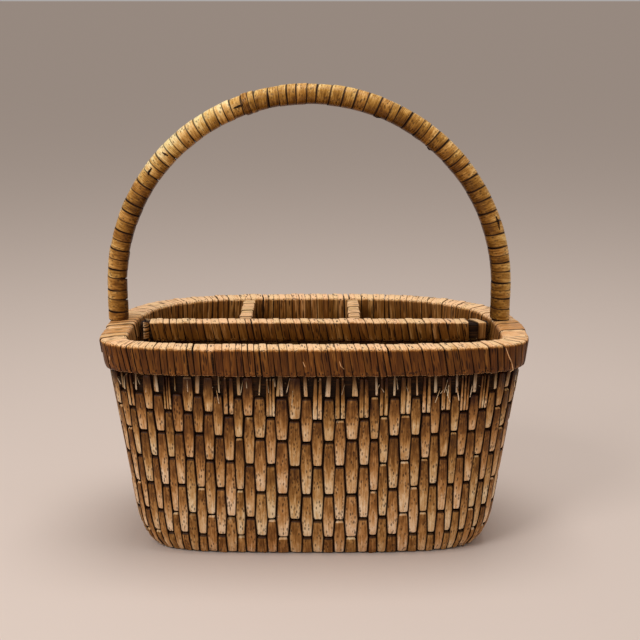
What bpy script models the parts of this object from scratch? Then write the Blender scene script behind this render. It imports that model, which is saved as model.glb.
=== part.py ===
"""Divided storage basket of split cane with a fixed hoop handle.

Metres, +Z up. The origin is on the floor under the middle of the rim. +X runs along the basket to the right
and -Y is the front.
"""
import math

import bmesh
import bpy
from mathutils import Vector

# Clearance kept between two pieces that touch
GAP = 0.0003

# Plan of the rim: each quarter is a superellipse, and the quarters meet on the line where the rim is widest
RIM_LENGTH = 0.392
RIM_DEPTH = 0.2145
WIDEST_LINE_SHARE = 0.48
CORNER_FRONT_LEFT = 3.7
CORNER_FRONT_RIGHT = 3.3
CORNER_BACK_LEFT = 3.2
CORNER_BACK_RIGHT = 2.9
PLAN_STEPS = 48

# Rim: two hoops on either side of the top course, held by the binding
RIM_TOP = 0.205
RIM_HEIGHT = 0.027
RIM_INNER_SIDE = 0.0092
RIM_INNER_END = 0.0117
RIM_ROUND = 0.004
RIM_BINDING_THICKNESS = 0.0014

# Wall: its outer face leans out in a straight line above a rounded foot
FOOT_LENGTH = 0.3256
RIM_OVERHANG = 0.0053
FOOT_ROUND_HEIGHT = 0.040
FOOT_ROUND_DEPTH = 0.016
FOOT_ROW_SHARES = (0.03, 0.10, 0.225, 0.45, 0.70, 1.0)
SPLINT_THICKNESS = 0.0024
FOUNDATION_THICKNESS = 0.0050
LINING_THICKNESS = 0.0016
COURSE_LINE_SHARES = (0.040, 0.101, 0.208, 0.350, 0.508, 0.648, 0.770, 0.884)

# Floor
BASE_THICKNESS = 0.0050
MAT_THICKNESS = 0.0044

# The handle and the long divider stand on this line, a little in front of the middle
CROSS_LINE_Y = -0.0022

# Handle: a bent round rod with a winding of splint. Each leg stands at an inset from the rim's outer face
LEFT_LEG_INSET = 0.00683
RIGHT_LEG_INSET = 0.01683
HANDLE_SPRINGING = 0.031
HANDLE_THICKNESS = 0.0188
HANDLE_SPLINT = 0.0010
HANDLE_SEAT = 0.0009
HANDLE_TURNS = 24
HANDLE_TURN_GAP = 0.0007
HANDLE_CORE_SIDES = 10
HANDLE_CORE_SMOOTH_DEGREES = 50
HANDLE_ARC_STEPS = 40
TONGUE_THICKNESS = 0.0046
TONGUE_WIDTH = 0.0130
TONGUE_LENGTH = 0.024
POINTS_PER_TURN = 24

# Lashings over the rim at the handle's legs, from behind a leg to an inset from the rim's front face
LASHING_THICKNESS = 0.0013
LASHING_DROP = 0.012
LASHING_FRONT_INSET = 0.0396
LASHING_BACK_REACH = 0.006

# Dividers: a bound rail over a panel
RAIL_SINK = 0.001
RAIL_BINDING = 0.0014
RAIL_CORNER = 0.003
LONG_RAIL_WIDTH = 0.016
LONG_RAIL_HEIGHT = 0.019
LONG_PANEL_THICKNESS = 0.005
LONG_BARE_RIGHT = 0.0165
STRAP_WIDTH = 0.008
STRAP_THICKNESS = 0.0012
STRAP_END = 0.004
CROSS_RAIL_WIDTH = 0.012
CROSS_RAIL_HEIGHT = 0.016
CROSS_PANEL_THICKNESS = 0.004
LEFT_DIVIDER_X = -0.067
RIGHT_DIVIDER_X = 0.038

# Ties: a narrow splint wound round the bare end of a rail
TIE_SPLINT = 0.0010
TIE_WIDTH = 0.0020
TIE_TURN_GAP = 0.0006
TIE_TURNS = 1.5
TIE_ROOM = 0.0004

# One turn of splint must clear the next by more than this
LEAST_TURN_GAP = 0.0004

PALE = (0.56, 0.38, 0.19)
GOLDEN = (0.46, 0.28, 0.12)
BROWN = (0.25, 0.14, 0.06)
STRAW = (0.60, 0.47, 0.28)


def clear_scene():
    for obj in list(bpy.data.objects):
        bpy.data.objects.remove(obj)


def material(name, colour, roughness):
    made = bpy.data.materials.new(name)
    made.use_nodes = True
    shader = made.node_tree.nodes["Principled BSDF"]
    shader.inputs["Base Color"].default_value = (*colour, 1.0)
    shader.inputs["Roughness"].default_value = roughness
    shader.inputs["Metallic"].default_value = 0.0
    return made


def add_object(name, verts, faces, mat, smooth_angle=None):
    mesh = bpy.data.meshes.new(name)
    mesh.from_pydata([tuple(v) for v in verts], [], faces)
    bm = bmesh.new()
    bm.from_mesh(mesh)
    bmesh.ops.recalc_face_normals(bm, faces=bm.faces)
    bm.to_mesh(mesh)
    bm.free()
    mesh.materials.append(mat)
    if smooth_angle:
        mesh.shade_smooth()
        mesh.set_sharp_from_angle(angle=smooth_angle)
    obj = bpy.data.objects.new(name, mesh)
    bpy.context.collection.objects.link(obj)
    return obj


def sweep(sections, closed):
    """Skins a run of cross sections that have as many points each, and caps the ends of an open run."""
    count = len(sections[0])
    verts = [v for section in sections for v in section]
    faces = []
    last = len(sections) if closed else len(sections) - 1
    for i in range(last):
        a = i * count
        b = ((i + 1) % len(sections)) * count
        for j in range(count):
            k = (j + 1) % count
            faces.append((a + j, a + k, b + k, b + j))
    if not closed:
        faces.append(tuple(range(count)))
        faces.append(tuple(range(len(verts) - count, len(verts))))
    return verts, faces


def cut(obj, cutter):
    """Takes the cutter's volume out of the object and removes the cutter."""
    modifier = obj.modifiers.new("cut", 'BOOLEAN')
    modifier.operation = 'DIFFERENCE'
    modifier.solver = 'EXACT'
    modifier.object = cutter
    depsgraph = bpy.context.evaluated_depsgraph_get()
    mesh = bpy.data.meshes.new_from_object(obj.evaluated_get(depsgraph))
    obj.modifiers.clear()
    obj.data = mesh
    bpy.data.objects.remove(cutter)


# The plan

HALF_LENGTH = RIM_LENGTH / 2
HALF_DEPTH = RIM_DEPTH / 2
WIDEST_Y = -WIDEST_LINE_SHARE * HALF_DEPTH


def quarter(angle):
    """Half depth and corner exponent of the quarter of the plan that an angle falls in."""
    front = math.sin(angle) < 0
    left = math.cos(angle) < 0
    if front:
        return HALF_DEPTH + WIDEST_Y, CORNER_FRONT_LEFT if left else CORNER_FRONT_RIGHT
    return HALF_DEPTH - WIDEST_Y, CORNER_BACK_LEFT if left else CORNER_BACK_RIGHT


def plan_point(angle):
    depth, power = quarter(angle)
    cos, sin = math.cos(angle), math.sin(angle)
    x = HALF_LENGTH * math.copysign(abs(cos) ** (2 / power), cos)
    y = WIDEST_Y + depth * math.copysign(abs(sin) ** (2 / power), sin)
    return Vector((x, y, 0.0))


def plan_normal(angle):
    """Outward normal of the plan, from the gradient of its superellipse."""
    depth, power = quarter(angle)
    point = plan_point(angle)
    x = point.x / HALF_LENGTH
    y = (point.y - WIDEST_Y) / depth
    gradient = Vector((math.copysign(abs(x) ** (power - 1), x) / HALF_LENGTH,
                       math.copysign(abs(y) ** (power - 1), y) / depth, 0.0))
    return gradient.normalized()


ANGLES = [2 * math.pi * step / PLAN_STEPS for step in range(PLAN_STEPS)]
LEAN = (HALF_LENGTH - RIM_OVERHANG - FOOT_LENGTH / 2) / RIM_TOP


def foot_round(z):
    """How far the rounded foot is drawn in at a height, and how fast that changes."""
    share = max(0.0, 1 - z / FOOT_ROUND_HEIGHT)
    rise = math.sqrt(1 - share * share)
    return FOOT_ROUND_DEPTH * (1 - rise), FOOT_ROUND_DEPTH * share / (rise * FOOT_ROUND_HEIGHT)


def wall_point(angle, z, depth):
    """A point at a depth under the wall's outer face, measured square to that face."""
    drawn_in, slope = foot_round(z)
    half = FOOT_LENGTH / 2 + LEAN * z - drawn_in
    tilt = math.atan(slope)
    point = plan_point(angle) * (half / HALF_LENGTH) - plan_normal(angle) * (depth * math.cos(tilt))
    point.z = z + depth * math.sin(tilt)
    return point


def inner_depth(angle):
    """Depth of the rim on the inner side of the top course: more at the ends than along the sides."""
    normal = plan_normal(angle)
    return math.hypot(RIM_INNER_END * normal.x, RIM_INNER_SIDE * normal.y)


def overhang(angle):
    """How far the rim stands out from the wall's face, which is less along the sides than at the ends."""
    return RIM_OVERHANG * plan_point(angle).dot(plan_normal(angle)) / HALF_LENGTH


def rim_width(angle):
    return overhang(angle) + LINING_DEPTH + inner_depth(angle)


def rim_point(angle, inset, z):
    """A point at an inset from the rim's outer face, which leans as the wall does."""
    half = FOOT_LENGTH / 2 + LEAN * z
    point = plan_point(angle) * (half / HALF_LENGTH) + plan_normal(angle) * (overhang(angle) - inset)
    point.z = z
    return point


def crossing(ring, axis, at, side):
    """Where a ring of points crosses the line on which one axis is held. side picks the far or near place."""
    other = 1 - axis
    found = []
    for i, a in enumerate(ring):
        b = ring[(i + 1) % len(ring)]
        if (a[axis] - at) * (b[axis] - at) <= 0 and a[axis] != b[axis]:
            share = (at - a[axis]) / (b[axis] - a[axis])
            found.append(a[other] + share * (b[other] - a[other]))
    return max(found) if side > 0 else min(found)


# Base and wall

RIM_BOTTOM = RIM_TOP - RIM_HEIGHT
FOOT_ROWS = [share * FOOT_ROUND_HEIGHT for share in FOOT_ROW_SHARES]
COURSE_LINES = [share * RIM_BOTTOM for share in COURSE_LINE_SHARES]
FOUNDATION_DEPTH = SPLINT_THICKNESS + GAP
LINING_DEPTH = FOUNDATION_DEPTH + FOUNDATION_THICKNESS + GAP
WALL_THICKNESS = LINING_DEPTH + LINING_THICKNESS
MAT_BOTTOM = BASE_THICKNESS + GAP
MAT_TOP = MAT_BOTTOM + MAT_THICKNESS
WALL_TOP = RIM_BOTTOM - GAP
LINING_FOOT = COURSE_LINES[0] + GAP
LINING_ROWS = [LINING_FOOT] + [z for z in FOOT_ROWS if z > LINING_FOOT] + [WALL_TOP]


def wall_layer(name, rows, depth, thickness, mat, open_for_leg=False):
    """A shell between two depths of the wall. It may be open where the left leg's tongue stands."""
    sections = []
    for angle in ANGLES:
        outer = [wall_point(angle, z, depth) for z in rows]
        inner = [wall_point(angle, z, depth + thickness) for z in reversed(rows)]
        sections.append(outer + inner)
    if open_for_leg:
        sections = open_at(sections, -1, TONGUE_WIDTH / 2 + GAP)
    verts, faces = sweep(sections, closed=not open_for_leg)
    return add_object(name, verts, faces, mat)


def floor_plate(name, bottom, top, mat):
    """A flat plate that fits inside the lower edge of the wall's splints."""
    ring = [wall_point(angle, FOOT_ROWS[0], SPLINT_THICKNESS) - plan_normal(angle) * GAP for angle in ANGLES]
    verts = [(p.x, p.y, z) for z in (bottom, top) for p in ring]
    count = len(ring)
    faces = [tuple(range(count)), tuple(range(count, 2 * count))]
    faces += [(i, (i + 1) % count, count + (i + 1) % count, count + i) for i in range(count)]
    return add_object(name, verts, faces, mat)


def build_base(mats):
    floor_plate("base_panel", 0.0, BASE_THICKNESS, mats["brown"])
    floor_plate("floor_mat", MAT_BOTTOM, MAT_TOP, mats["pale"])


def build_wall(mats):
    wall_layer("wall_splints", FOOT_ROWS + [WALL_TOP], 0.0, SPLINT_THICKNESS, mats["golden"])
    wall_layer("wall_lining", LINING_ROWS, LINING_DEPTH, LINING_THICKNESS, mats["pale"])
    # The top course stands up inside the rim, and the left leg's tongue goes down through it
    tops = COURSE_LINES[1:] + [RIM_TOP - RIM_BINDING_THICKNESS - RIM_ROUND]
    for number, (low, high) in enumerate(zip(COURSE_LINES, tops), start=1):
        rows = [low] + [z for z in FOOT_ROWS if low < z < high - GAP] + [high - GAP]
        wall_layer(f"wall_course_{number}", rows, FOUNDATION_DEPTH, FOUNDATION_THICKNESS, mats["brown"],
                   open_for_leg=number == len(tops))


def open_at(sections, side, half_gap):
    """Opens a ring of sections at one end of the basket, so that it clears the handle's line by half_gap."""
    low_y, high_y = CROSS_LINE_Y - half_gap, CROSS_LINE_Y + half_gap
    count = len(sections)
    start = 0 if side > 0 else count // 2
    walk = [sections[(start + side * step) % count] for step in range(count)]
    before = max(k for k in range(-count // 4, count // 4) if all(p.y <= low_y for p in walk[k]))
    after = min(k for k in range(-count // 4, count // 4) if all(p.y >= high_y for p in walk[k]))
    low_share = min((low_y - p.y) / (q.y - p.y) for p, q in zip(walk[before], walk[before + 1]))
    high_share = max((high_y - p.y) / (q.y - p.y) for p, q in zip(walk[after - 1], walk[after]))
    low_end = [p.lerp(q, low_share) for p, q in zip(walk[before], walk[before + 1])]
    high_end = [p.lerp(q, high_share) for p, q in zip(walk[after - 1], walk[after])]
    return [high_end] + [walk[k % count] for k in range(after, count + before + 1)] + [low_end]


# Rim

SIDE_OVERHANG = RIM_OVERHANG * HALF_DEPTH / HALF_LENGTH
HOOP_INSET = RIM_BINDING_THICKNESS + GAP
OUTER_HOOP_INSIDE = SIDE_OVERHANG + SPLINT_THICKNESS
CORNER_SHARE = 1 / 3


def rim_surface(width, swell, low):
    """The rim's outline over the top, from its outer face to its inner one, as insets and heights."""
    outer = [(-swell, low),
             (-swell, RIM_TOP - RIM_ROUND),
             (RIM_ROUND * CORNER_SHARE - swell, RIM_TOP - RIM_ROUND * CORNER_SHARE + swell),
             (RIM_ROUND, RIM_TOP + swell)]
    return outer + [(width - inset, z) for inset, z in reversed(outer)]


def build_rim_binding(mats):
    lip = RIM_BINDING_THICKNESS
    foot = RIM_ROUND * (1 - CORNER_SHARE)
    sections = []
    for angle in ANGLES:
        width = rim_width(angle)
        outside = rim_surface(width, 0.0, RIM_BOTTOM + foot)
        outside = [(OUTER_HOOP_INSIDE, RIM_BOTTOM + lip), (OUTER_HOOP_INSIDE, RIM_BOTTOM),
                   (foot / 2, RIM_BOTTOM)] + outside
        inner_lip = width - inner_depth(angle)
        outside += [(width - foot / 2, RIM_BOTTOM), (inner_lip, RIM_BOTTOM), (inner_lip, RIM_BOTTOM + lip)]
        hollow = [(width - lip, RIM_BOTTOM + lip), (width - lip, RIM_TOP - lip - RIM_ROUND),
                  (width - lip - RIM_ROUND, RIM_TOP - lip), (lip + RIM_ROUND, RIM_TOP - lip),
                  (lip, RIM_TOP - lip - RIM_ROUND), (lip, RIM_BOTTOM + lip)]
        sections.append([rim_point(angle, inset, z) for inset, z in outside + hollow])
    verts, faces = sweep(sections, closed=True)
    binding = add_object("rim_binding", verts, faces, mats["golden"])
    for side in (-1, 1):
        cut(binding, leg_cutter(side, CORE_RADIUS + GAP))


def hoop(name, insets, open_for_leg, mats):
    """A flat hoop that stands on the binding's lip. insets gives its two insets from the rim's outer face."""
    low = RIM_BOTTOM + RIM_BINDING_THICKNESS + GAP
    high = RIM_TOP - RIM_BINDING_THICKNESS - RIM_ROUND - GAP
    sections = []
    for angle in ANGLES:
        near, far = insets(angle)
        sections.append([rim_point(angle, inset, z) for inset, z in
                         ((near, low), (far, low), (far, high), (near, high))])
    if open_for_leg:
        sections = open_at(sections, 1, TONGUE_WIDTH / 2 + GAP)
    verts, faces = sweep(sections, closed=not open_for_leg)
    add_object(name, verts, faces, mats["brown"])


def build_rim(mats):
    hoop("rim_outer_hoop", lambda angle: (HOOP_INSET, OUTER_HOOP_INSIDE), False, mats)
    # The inner hoop's two ends meet at the right leg's tongue
    hoop("rim_inner_hoop",
         lambda angle: (rim_width(angle) - inner_depth(angle), rim_width(angle) - HOOP_INSET), True, mats)
    build_rim_binding(mats)


# Handle

def leg_x(side):
    """Place of a leg's centre: the handle spans the rim from one leg's inset to the other's."""
    outer_face = crossing([rim_point(angle, 0.0, RIM_TOP) for angle in ANGLES], 1, CROSS_LINE_Y, side)
    return outer_face - side * (RIGHT_LEG_INSET if side > 0 else LEFT_LEG_INSET)


HANDLE_RADIUS = HANDLE_THICKNESS / 2
CORE_RADIUS = HANDLE_RADIUS - HANDLE_SPLINT - HANDLE_SEAT
HANDLE_SPAN = leg_x(1) - leg_x(-1)
HANDLE_OFFSET = (leg_x(1) + leg_x(-1)) / 2
ARC_RADIUS = HANDLE_SPAN / 2
ARC_CENTRE = Vector((HANDLE_OFFSET, CROSS_LINE_Y, RIM_TOP + HANDLE_SPRINGING))
ARC_LENGTH = math.pi * ARC_RADIUS
CENTRELINE_LENGTH = ARC_LENGTH + 2 * HANDLE_SPRINGING
ACROSS = Vector((0.0, 1.0, 0.0))


def handle_frame(distance):
    """Centre of the handle and its outward direction, at a distance from the rim's top along the left leg."""
    along = distance - HANDLE_SPRINGING
    if along < 0:
        return ARC_CENTRE + Vector((-ARC_RADIUS, 0.0, along)), Vector((-1.0, 0.0, 0.0))
    if along > ARC_LENGTH:
        return ARC_CENTRE + Vector((ARC_RADIUS, 0.0, ARC_LENGTH - along)), Vector((1.0, 0.0, 0.0))
    turn = math.pi - along / ARC_RADIUS
    outward = Vector((math.cos(turn), 0.0, math.sin(turn)))
    return ARC_CENTRE + outward * ARC_RADIUS, outward


def tongue_x(side, z):
    """Middle of a leg's tongue, which is in the top course on the left and in the inner hoop on the right."""
    if side < 0:
        ring = [wall_point(angle, z, FOUNDATION_DEPTH + FOUNDATION_THICKNESS / 2) for angle in ANGLES]
    else:
        ring = [rim_point(angle, rim_width(angle) - (HOOP_INSET + inner_depth(angle)) / 2, z)
                for angle in ANGLES]
    return crossing(ring, 1, CROSS_LINE_Y, side)


def core_section(centre, outward, half_out, half_across):
    return [centre + outward * (half_out * math.cos(2 * math.pi * i / HANDLE_CORE_SIDES))
            + ACROSS * (half_across * math.sin(2 * math.pi * i / HANDLE_CORE_SIDES))
            for i in range(HANDLE_CORE_SIDES)]


def build_handle_core(mats):
    left, right = Vector((-1.0, 0.0, 0.0)), Vector((1.0, 0.0, 0.0))
    shoulder = RIM_TOP - RIM_BINDING_THICKNESS - RIM_ROUND
    tip = RIM_TOP - TONGUE_LENGTH
    half_out, half_across = TONGUE_THICKNESS / 2, TONGUE_WIDTH / 2
    sections = [core_section(Vector((tongue_x(-1, z), CROSS_LINE_Y, z)), left, half_out, half_across)
                for z in (tip, shoulder)]
    sections.append(core_section(handle_frame(0.0)[0], left, CORE_RADIUS, CORE_RADIUS))
    for step in range(HANDLE_ARC_STEPS + 1):
        centre, outward = handle_frame(HANDLE_SPRINGING + ARC_LENGTH * step / HANDLE_ARC_STEPS)
        sections.append(core_section(centre, outward, CORE_RADIUS, CORE_RADIUS))
    sections.append(core_section(handle_frame(CENTRELINE_LENGTH)[0], right, CORE_RADIUS, CORE_RADIUS))
    sections += [core_section(Vector((tongue_x(1, z), CROSS_LINE_Y, z)), right, half_out, half_across)
                 for z in (shoulder, tip)]
    verts, faces = sweep(sections, closed=False)
    add_object("handle_core", verts, faces, mats["brown"], math.radians(HANDLE_CORE_SMOOTH_DEGREES))


def build_handle_binding(mats):
    """One splint wound round the core from rim to rim."""
    free = CENTRELINE_LENGTH - 2 * GAP
    pitch = (free + HANDLE_TURN_GAP) / (HANDLE_TURNS + 1)
    width = pitch - HANDLE_TURN_GAP
    inner, outer = HANDLE_RADIUS - HANDLE_SPLINT, HANDLE_RADIUS
    sections = []
    for step in range(HANDLE_TURNS * POINTS_PER_TURN + 1):
        share = step / POINTS_PER_TURN
        turn = 2 * math.pi * share
        low = GAP + pitch * share
        section = []
        for distance, radius in ((low, inner), (low + width, inner), (low + width, outer), (low, outer)):
            centre, outward = handle_frame(distance)
            section.append(centre + (outward * math.cos(turn) + ACROSS * math.sin(turn)) * radius)
        sections.append(section)
    report_turn_gap("handle_binding", sections)
    verts, faces = sweep(sections, closed=False)
    add_object("handle_binding", verts, faces, mats["golden"])


def report_turn_gap(name, sections):
    """Prints the least gap from one turn to the next, measured between the facing edges of the splint."""
    least = min((sections[i + POINTS_PER_TURN][near] - sections[i][far]).length
                for i in range(len(sections) - POINTS_PER_TURN)
                for far, near in ((1, 0), (2, 3)))
    print(f"{name}: least gap between turns {least * 1000:.2f} mm, "
          f"wanted over {LEAST_TURN_GAP * 1000:.1f} mm")


def leg_cutter(side, radius):
    """An upright cutter where a leg goes into the rim. Its flats touch a circle of the given radius."""
    reach = RIM_ROUND + RIM_BINDING_THICKNESS
    centre = Vector((leg_x(side), CROSS_LINE_Y, RIM_TOP))
    corner_radius = radius / math.cos(math.pi / HANDLE_CORE_SIDES)
    turns = [2 * math.pi * i / HANDLE_CORE_SIDES for i in range(HANDLE_CORE_SIDES)]
    sections = []
    for z in (-reach, reach):
        sections.append([centre + Vector((corner_radius * math.cos(turn), corner_radius * math.sin(turn), z))
                         for turn in turns])
    verts, faces = sweep(sections, closed=False)
    return add_object("leg_cutter", verts, faces, None)


def build_lashing(name, side, mats):
    """Splints laid over the rim round a leg of the handle and in front of it, with a hole for the leg."""
    front = LASHING_FRONT_INSET - HALF_DEPTH
    back = CROSS_LINE_Y + HANDLE_RADIUS + LASHING_BACK_REACH
    ring = []
    for angle in ANGLES:
        width = rim_width(angle)
        near = rim_surface(width, GAP, RIM_TOP - LASHING_DROP)
        far = rim_surface(width, GAP + LASHING_THICKNESS, RIM_TOP - LASHING_DROP)
        ring.append([rim_point(angle, inset, z) for inset, z in far + near[::-1]])
    inside = [section for section in ring if all(front < p.y < back and p.x * side > 0 for p in section)]
    inside.sort(key=lambda section: section[0].y)
    ends = [[Vector((crossing(line, 1, y, side), y, line[0].z)) for line in zip(*ring)]
            for y in (front, back)]
    verts, faces = sweep([ends[0], *inside, ends[1]], closed=False)
    lashing = add_object(name, verts, faces, mats["pale"])
    cut(lashing, leg_cutter(side, HANDLE_RADIUS + GAP))


def build_handle(mats):
    build_handle_core(mats)
    build_handle_binding(mats)
    build_lashing("handle_lashing_left", -1, mats)
    build_lashing("handle_lashing_right", 1, mats)


# Dividers

RAIL_TOP = RIM_TOP - RAIL_SINK
TIE_PITCH = TIE_WIDTH + TIE_TURN_GAP
BARE_END = TIE_PITCH * TIE_TURNS + TIE_WIDTH + 2 * TIE_ROOM
PANEL_ROW_SHARES = (0.4, 0.6)


def divider_point(axis, along, across, z):
    """A point by its places along and across a divider, which runs along X (axis 0) or along Y (axis 1)."""
    return Vector((along, across, z)) if axis == 0 else Vector((across, along, z))


def lining_ring(z):
    return [wall_point(angle, z, WALL_THICKNESS) for angle in ANGLES]


def rim_inner_ring(z, proud):
    return [rim_point(angle, rim_width(angle) + proud, z) for angle in ANGLES]


def bar_outline(width, height, corner):
    """Outline of a rail's section with its corners taken off, round its own middle."""
    w, h = width / 2, height / 2
    return [(w, -h + corner), (w, h - corner), (w - corner, h), (corner - w, h),
            (-w, h - corner), (-w, corner - h), (corner - w, -h), (w - corner, -h)]


def rail_core(name, axis, centre, width, height, ends, mats):
    """The bar inside a rail. ends gives its two end places for each of two heights, and the ends slant."""
    (low_z, low_ends), (high_z, high_ends) = ends
    middle = (low_z + high_z) / 2
    sections = []
    for end in (0, 1):
        section = []
        for across, z in bar_outline(width, height, RAIL_CORNER / 2):
            share = (middle + z - low_z) / (high_z - low_z)
            along = low_ends[end] + share * (high_ends[end] - low_ends[end])
            section.append(divider_point(axis, along, centre + across, middle + z))
        sections.append(section)
    verts, faces = sweep(sections, closed=False)
    add_object(name, verts, faces, mats["brown"])


def rail_sleeve(name, axis, centre, width, height, low, high, mats):
    """The binding of a rail: a thin sleeve that is open at both ends."""
    outer = bar_outline(width, height, RAIL_CORNER)
    inner = bar_outline(width - 2 * RAIL_BINDING, height - 2 * RAIL_BINDING, RAIL_CORNER / 2)
    middle = RAIL_TOP - height / 2
    verts = []
    for along in (low, high):
        for outline in (outer, inner):
            verts += [divider_point(axis, along, centre + across, middle + z) for across, z in outline]
    count = len(outer)
    faces = []
    for i in range(count):
        k = (i + 1) % count
        faces.append((i, k, 2 * count + k, 2 * count + i))
        faces.append((count + i, count + k, 3 * count + k, 3 * count + i))
        faces.append((i, k, count + k, count + i))
        faces.append((2 * count + i, 2 * count + k, 3 * count + k, 3 * count + i))
    add_object(name, verts, faces, mats["golden"])


def divider_panel(name, axis, centre, thickness, rows, mats):
    """An upright panel whose ends follow what they stand against: rows are heights with two end places."""
    sections = []
    for across in (-thickness / 2, thickness / 2):
        outline = [(low, z) for z, (low, high) in rows] + [(high, z) for z, (low, high) in reversed(rows)]
        sections.append([divider_point(axis, along, centre + across, z) for along, z in outline])
    verts, faces = sweep(sections, closed=False)
    add_object(name, verts, faces, mats["straw"])


def lining_reach(axis, at, z, side):
    """Distance from the middle to the lining's inner face at a height, read between the lining's rows."""
    stations = []
    for row in LINING_ROWS:
        ring = lining_ring(row)
        stations.append((ring[0].z, abs(crossing(ring, 1 - axis, at, side))))
    if z <= stations[0][0]:
        return stations[0][1]
    for (low_z, low), (high_z, high) in zip(stations, stations[1:]):
        if z <= high_z:
            return low + (high - low) * (z - low_z) / (high_z - low_z)
    return stations[-1][1]


def wall_reach(axis, at, z, side):
    """How far a panel may go towards the wall at a height, clear of the lining and of the rim above it."""
    rim = abs(crossing(rim_inner_ring(RIM_BOTTOM, 0.0), 1 - axis, at, side))
    return side * (min(lining_reach(axis, at, z, side), rim) - GAP)


def panel_rows(height):
    """Heights of a panel's corners: its foot, the lining's rows in the rounded foot, and its top."""
    foot = [lining_ring(row)[0].z for row in LINING_ROWS if row <= FOOT_ROUND_HEIGHT]
    middle = [RIM_BOTTOM * share for share in PANEL_ROW_SHARES]
    return [MAT_TOP + GAP] + foot + middle + [RAIL_TOP - height - GAP]


def worst_reach(axis, centre, thickness, z, side):
    """The shorter of a panel's two corner reaches, because the wall curves across its thickness."""
    return side * min(abs(wall_reach(axis, centre + across, z, side))
                      for across in (-thickness / 2, 0.0, thickness / 2))


def rail_reach(axis, centre, width, z, side, proud):
    """How far a rail may go towards the rim's inner face at a height."""
    return side * (min(abs(crossing(rim_inner_ring(z, proud), 1 - axis, centre + across, side))
                       for across in (-width / 2, 0.0, width / 2)) - GAP)


def core_height_range(height):
    inset = RAIL_BINDING + GAP
    return RAIL_TOP - height + inset, RAIL_TOP - inset


def build_long_divider(mats):
    core_width = LONG_RAIL_WIDTH - 2 * (RAIL_BINDING + GAP)
    proud = LASHING_THICKNESS + GAP
    ends = [(z, [rail_reach(0, CROSS_LINE_Y, core_width, z, side, proud) for side in (-1, 1)])
            for z in core_height_range(LONG_RAIL_HEIGHT)]
    rail_core("long_divider_rail", 0, CROSS_LINE_Y, core_width, ends[1][0] - ends[0][0], ends, mats)
    left = ends[0][1][0] + BARE_END
    right = ends[0][1][1] - LONG_BARE_RIGHT
    rail_sleeve("long_divider_binding", 0, CROSS_LINE_Y, LONG_RAIL_WIDTH, LONG_RAIL_HEIGHT, left, right, mats)
    rows = [(z, [worst_reach(0, CROSS_LINE_Y, LONG_PANEL_THICKNESS, z, side) for side in (-1, 1)])
            for z in panel_rows(LONG_RAIL_HEIGHT)]
    divider_panel("long_divider_panel", 0, CROSS_LINE_Y, LONG_PANEL_THICKNESS, rows, mats)
    tie("long_divider_lashing_left", 0, CROSS_LINE_Y, core_width, LONG_RAIL_HEIGHT, left, -1, mats)
    build_strap(core_width, ends[0][1][1] - STRAP_END, mats)


def build_strap(core_width, right, mats):
    """A broad splint that goes over the bare right end of the long rail and down both its faces."""
    low, high = core_height_range(LONG_RAIL_HEIGHT)
    sections = []
    for along in (right - STRAP_WIDTH, right):
        section = []
        for grow in (GAP + STRAP_THICKNESS, GAP):
            half = core_width / 2 + grow
            corners = [(-half, low), (-half, high + grow), (half, high + grow), (half, low)]
            section += corners if grow > GAP else corners[::-1]
        sections.append([(along, CROSS_LINE_Y + across, z) for across, z in section])
    verts, faces = sweep(sections, closed=False)
    add_object("long_divider_strap_right", verts, faces, mats["pale"])


def outline_place(outline, turns):
    """A place on an outline after a number of turns round it, with each of its sides taking as much of a turn."""
    corner, part = divmod(turns * len(outline), 1)
    start = Vector(outline[int(corner) % len(outline)])
    end = Vector(outline[(int(corner) + 1) % len(outline)])
    return start.lerp(end, part)


def tie(name, axis, centre, core_width, height, start, heading, mats):
    """A narrow splint wound round the bare end of a rail, from a start place in one direction."""
    low, high = core_height_range(height)
    middle = (low + high) / 2
    inner = bar_outline(core_width + 2 * GAP, high - low + 2 * GAP, RAIL_CORNER / 2)
    proud = GAP + TIE_SPLINT
    outer = bar_outline(core_width + 2 * proud, high - low + 2 * proud, RAIL_CORNER)
    sections = []
    for step in range(int(TIE_TURNS * POINTS_PER_TURN) + 1):
        near = start + heading * (TIE_ROOM + TIE_PITCH * step / POINTS_PER_TURN)
        far = near + heading * TIE_WIDTH
        section = []
        for along, outline in ((near, inner), (far, inner), (far, outer), (near, outer)):
            across, z = outline_place(outline, step / POINTS_PER_TURN)
            section.append(divider_point(axis, along, centre + across, middle + z))
        sections.append(section)
    report_turn_gap(name, sections)
    verts, faces = sweep(sections, closed=False)
    add_object(name, verts, faces, mats["pale"])


def build_cross_divider(label, x, mats):
    core_width = CROSS_RAIL_WIDTH - 2 * (RAIL_BINDING + GAP)
    front = CROSS_LINE_Y + LONG_RAIL_WIDTH / 2 + GAP
    ends = [(z, (front, rail_reach(1, x, core_width, z, 1, 0.0)))
            for z in core_height_range(CROSS_RAIL_HEIGHT)]
    rail_core(f"{label}_divider_rail", 1, x, core_width, ends[1][0] - ends[0][0], ends, mats)
    low = front + BARE_END
    high = ends[0][1][1] - BARE_END
    rail_sleeve(f"{label}_divider_binding", 1, x, CROSS_RAIL_WIDTH, CROSS_RAIL_HEIGHT, low, high, mats)
    near = CROSS_LINE_Y + LONG_PANEL_THICKNESS / 2 + GAP
    below = RAIL_TOP - LONG_RAIL_HEIGHT - GAP
    rows = [(z, (near if z < below else front, worst_reach(1, x, CROSS_PANEL_THICKNESS, z, 1)))
            for z in panel_rows(LONG_RAIL_HEIGHT)]
    divider_panel(f"{label}_divider_panel", 1, x, CROSS_PANEL_THICKNESS, rows, mats)
    tie(f"{label}_divider_tie_front", 1, x, core_width, CROSS_RAIL_HEIGHT, low, -1, mats)
    tie(f"{label}_divider_tie_back", 1, x, core_width, CROSS_RAIL_HEIGHT, high, 1, mats)


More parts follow.
